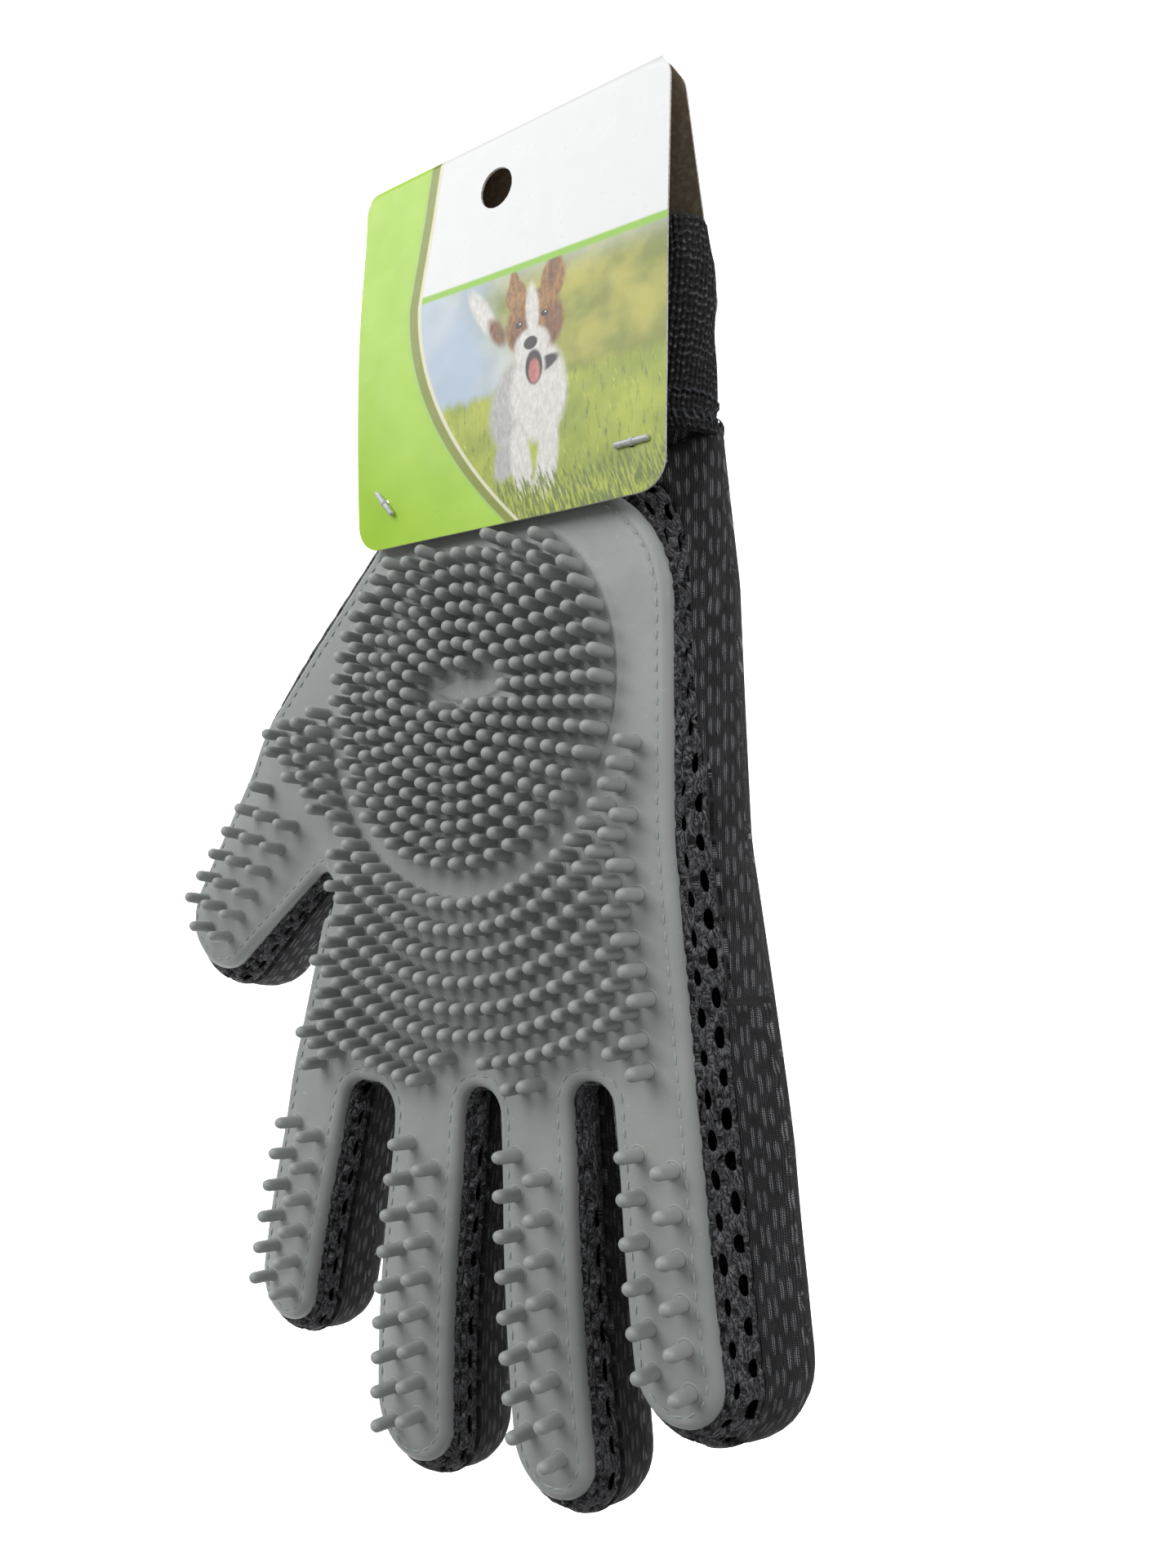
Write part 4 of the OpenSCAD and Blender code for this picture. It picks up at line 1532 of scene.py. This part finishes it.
def header_card():
    curve, lengths = card_curve()
    total = lengths[-1]
    left, right = CARD_LEFT, CARD_LEFT + CARD_W
    top = int(np.argmax(curve[:, 1]))

    def along_front(z):
        return float(np.interp(z, curve[:top, 1], lengths[:top]))

    def along_back(z):
        return float(np.interp(-z, -curve[top:, 1], lengths[top:]))

    fold = lengths[top]
    border = rounded([
        (left, 0, 6), (left, fold - 5.5, 5), (left + FOLD_NOTCH, fold, 0.8), (left, fold + 5.5, 5),
        (left, total, 6), (right, total, 6), (right, fold + 5.5, 5), (right - FOLD_NOTCH, fold, 0.8),
        (right, fold - 5.5, 5), (right, 0, 6)])
    border = divided(border, [max(1, round(length / 1.4)) for length in side_lengths(border)])
    hole_x, hole_z = ROW_ORIGIN[0], ROW_ORIGIN[2]
    holes = [(hole_x, along_front(hole_z), HOLE_R), (hole_x, along_back(hole_z), HOLE_R)]
    holes += [(x, along_front(TAG_Z), 1.0) for x in TAG_XS]
    sets, rings = [border], [list(range(len(border)))]
    for cx, cs, radius in holes:
        first = sum(len(s) for s in sets)
        loop = np.array((cx, cs)) + circle(radius, 40 if radius > 2 else 20)
        sets.append(loop)
        rings.append(list(range(first, first + len(loop))))
    low_fold, high_fold = along_front(FOLD_Z - 3), along_back(FOLD_Z - 3)
    filler = grid(2.2, (left, 0), (right, total))
    fold_rows = np.array([(x, s) for s in np.arange(low_fold, high_fold, 0.55)
                          for x in np.arange(left + 1.1, right - 1, 2.2)])
    outside_fold = (filler[:, 1] < low_fold - 1) | (filler[:, 1] > high_fold + 1)
    filler = np.concatenate([filler[outside_fold], fold_rows])
    filler = filler[inside(filler, border)]
    keep = from_edge(filler, border) > 0.8
    for cx, cs, radius in holes:
        keep &= np.hypot(filler[:, 0] - cx, filler[:, 1] - cs) > radius + 0.5
    sets.append(filler[keep])
    verts2, faces = triangulated(np.concatenate(sets), rings, [], border)
    centres = verts2[faces].mean(axis=1)
    solid = np.ones(len(faces), bool)
    for cx, cs, radius in holes:
        solid &= np.hypot(centres[:, 0] - cx, centres[:, 1] - cs) > radius * 0.99
    verts2, faces, _ = compact(verts2, faces[solid])
    y = np.interp(verts2[:, 1], lengths, curve[:, 0])
    z = np.interp(verts2[:, 1], lengths, curve[:, 1])
    x = verts2[:, 0]
    front = smoothstep(-verts2[:, 1], -low_fold, -low_fold + 20)
    bow = 1.0 * np.exp(-((x - left) / 26) ** 2) * np.sin(np.clip((z - CARD_BOTTOM) / 76, 0, 1) * math.pi)
    corner = 0.7 * np.exp(-((x - right) / 16) ** 2 - ((z - CARD_BOTTOM) / 22) ** 2)
    y = y - (bow + corner) * front
    verts = np.column_stack([x, y, z])
    piece = make_object("printed_header_card", verts, faces, [PRINT, KRAFT, CARD_EDGE])
    weld(piece)
    solid = piece.modifiers.new("Thickness", "SOLIDIFY")
    solid.thickness = CARD_T * MM
    solid.offset = 0
    solid.use_rim = True
    solid.material_offset = 1
    solid.material_offset_rim = 2
    apply_modifiers(piece)
    faces_out(piece)
    sharpen(piece, 40)
    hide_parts("header_card")
    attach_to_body(piece, "hand")


def faces_out(piece):
    """Make sure that the print is on the outside of the fold."""
    printed = [p for p in piece.data.polygons if p.material_index == 0]
    front = [p for p in printed if p.center.z < -0.02 and p.center.y < 0.002]
    if sum(p.normal.y for p in front) > 0:
        for polygon in piece.data.polygons:
            if polygon.material_index < 2:
                polygon.material_index = 1 - polygon.material_index


# ---------------------------------------------------------------- tag fasteners

def rounded_bar(verts, faces, start, end, radius, flat=1.0):
    """A round-ended bar between two points."""
    start, end = np.array(start, float), np.array(end, float)
    along = (end - start) / np.linalg.norm(end - start)
    side = np.cross(along, (0.31, 0.2, 0.93))
    side /= np.linalg.norm(side)
    up = np.cross(side, along)
    length = np.linalg.norm(end - start)
    sides = 14
    stops = [(0.02, 0.35), (0.12, 0.68), (0.35, 0.92), (0.7, 1.0)]
    profile = [(r * radius, k) for r, k in stops]
    profile += [(length - r * radius, k) for r, k in reversed(stops)]
    first = len(verts)
    for place, share in profile:
        centre = start + along * place
        for k in range(sides):
            a = 2 * math.pi * k / sides
            verts.append(tuple(centre + (side * math.cos(a) + up * flat * math.sin(a)) * radius * share))
    for r in range(len(profile) - 1):
        for k in range(sides):
            a, b = first + r * sides + k, first + r * sides + (k + 1) % sides
            faces.append((a, b, b + sides, a + sides))
    faces.append(tuple(first + k for k in reversed(range(sides))))
    faces.append(tuple(first + (len(profile) - 1) * sides + k for k in range(sides)))


def tag_fastener(side, x, lean):
    """A nylon filament through the card and the cuff, with a cross bar at each end."""
    front, rear = -4.75, 22.4
    a = math.radians(lean)
    half = np.array([math.cos(a), 0, -math.sin(a)]) * 4.0
    verts, faces = [], []
    rounded_bar(verts, faces, (x, front, TAG_Z), (x, rear, TAG_Z), 0.4)
    for y in (front, rear):
        middle = np.array([x, y, TAG_Z])
        rounded_bar(verts, faces, middle - half, middle + half, 0.62)
        rounded_bar(verts, faces, middle - half * 0.16, middle + half * 0.16, 0.82)
    piece = make_object(f"nylon_{side}_tag", np.array(verts), faces, [NYLON])
    face_outwards(piece)
    sharpen(piece, 60)
    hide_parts(f"{side}_tag_fastener")
    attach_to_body(piece, "hand")


# ---------------------------------------------------------------- camera, light and surroundings

CAMERA_AT = (157.6, -170.0, -35.7)
CAMERA_RIGHT = (0.8047, 0.5932, 0.0244)
CAMERA_UP = (0.0239, -0.0734, 0.9970)
CAMERA_LENS = 25.3125


def camera():
    data = bpy.data.cameras.new("camera")
    data.lens = CAMERA_LENS
    data.sensor_width = 36
    data.clip_start = 0.01
    data.clip_end = 20
    camera_object = bpy.data.objects.new("camera", data)
    right = Vector(CAMERA_RIGHT).normalized()
    up = Vector(CAMERA_UP).normalized()
    back = right.cross(up).normalized()
    up = back.cross(right)
    matrix = camera_object.matrix_world.copy()
    for row in range(3):
        matrix[row][0], matrix[row][1], matrix[row][2] = right[row], up[row], back[row]
        matrix[row][3] = float(to_row(np.array(CAMERA_AT))[row])
    camera_object.matrix_world = matrix
    bpy.context.scene.collection.objects.link(camera_object)
    bpy.context.scene.camera = camera_object


def light(name, place, target, size, power):
    data = bpy.data.lights.new(name, "AREA")
    data.shape = "DISK"
    data.size = size
    data.energy = power
    lamp = bpy.data.objects.new(name, data)
    lamp.location = place
    lamp.rotation_euler = (Vector(target) - Vector(place)).to_track_quat("-Z", "Y").to_euler()
    bpy.context.scene.collection.objects.link(lamp)


def paper_sweep():
    """A white floor below the glove that curves up into a wall behind it, square to the camera."""
    floor_z, near, far, radius, top_z, half = -0.40, 0.30, 0.78, 0.16, 0.75, 0.62
    at = to_row(np.array(CAMERA_AT))
    ahead = np.array([-CAMERA_RIGHT[1], CAMERA_RIGHT[0], 0.0])
    ahead /= np.linalg.norm(ahead)
    sideways = np.array([ahead[1], -ahead[0], 0.0])
    line = [(near, floor_z), (far - radius, floor_z)]
    for k in range(1, 13):
        a = math.pi / 2 * k / 12
        line.append((far - radius + radius * math.sin(a), floor_z + radius * (1 - math.cos(a))))
    line.append((far, top_z))
    verts = []
    for away, height in line:
        middle = np.array([at[0], at[1], 0.0]) + ahead * away + np.array([0.0, 0.0, height])
        verts += [tuple(middle - sideways * half), tuple(middle + sideways * half)]
    faces = [(2 * i, 2 * i + 1, 2 * i + 3, 2 * i + 2) for i in range(len(line) - 1)]
    mesh = bpy.data.meshes.new("sweep")
    mesh.from_pydata(verts, [], faces)
    mesh.materials.append(plain("white_paper", (0.90, 0.90, 0.90), 0.9, 0.95))
    mesh.polygons.foreach_set("use_smooth", np.ones(len(mesh.polygons), bool))
    sweep = bpy.data.objects.new("sweep", mesh)
    bpy.context.scene.collection.objects.link(sweep)


def surroundings():
    world = bpy.data.worlds.new("studio")
    world.use_nodes = True
    background = world.node_tree.nodes["Background"]
    background.inputs["Color"].default_value = (1.0, 1.0, 1.0, 1.0)
    background.inputs["Strength"].default_value = 0.31
    bpy.context.scene.world = world
    light("key", (-0.42, -0.75, 0.50), (0.0, 0.0, -0.14), 0.95, 9.4)
    light("side", (0.70, -0.10, 0.25), (0.03, 0.01, -0.12), 0.4, 2.0)
    bpy.context.scene.view_settings.view_transform = "Standard"
    paper_sweep()


camera()
surroundings()
rubber_pads()
pad_stitching()
knit()
mesh_panels()
cuff()
cuff_stitches()
header_card()
tag_fastener("left", TAG_XS[0], 48)
tag_fastener("right", TAG_XS[1], 0)
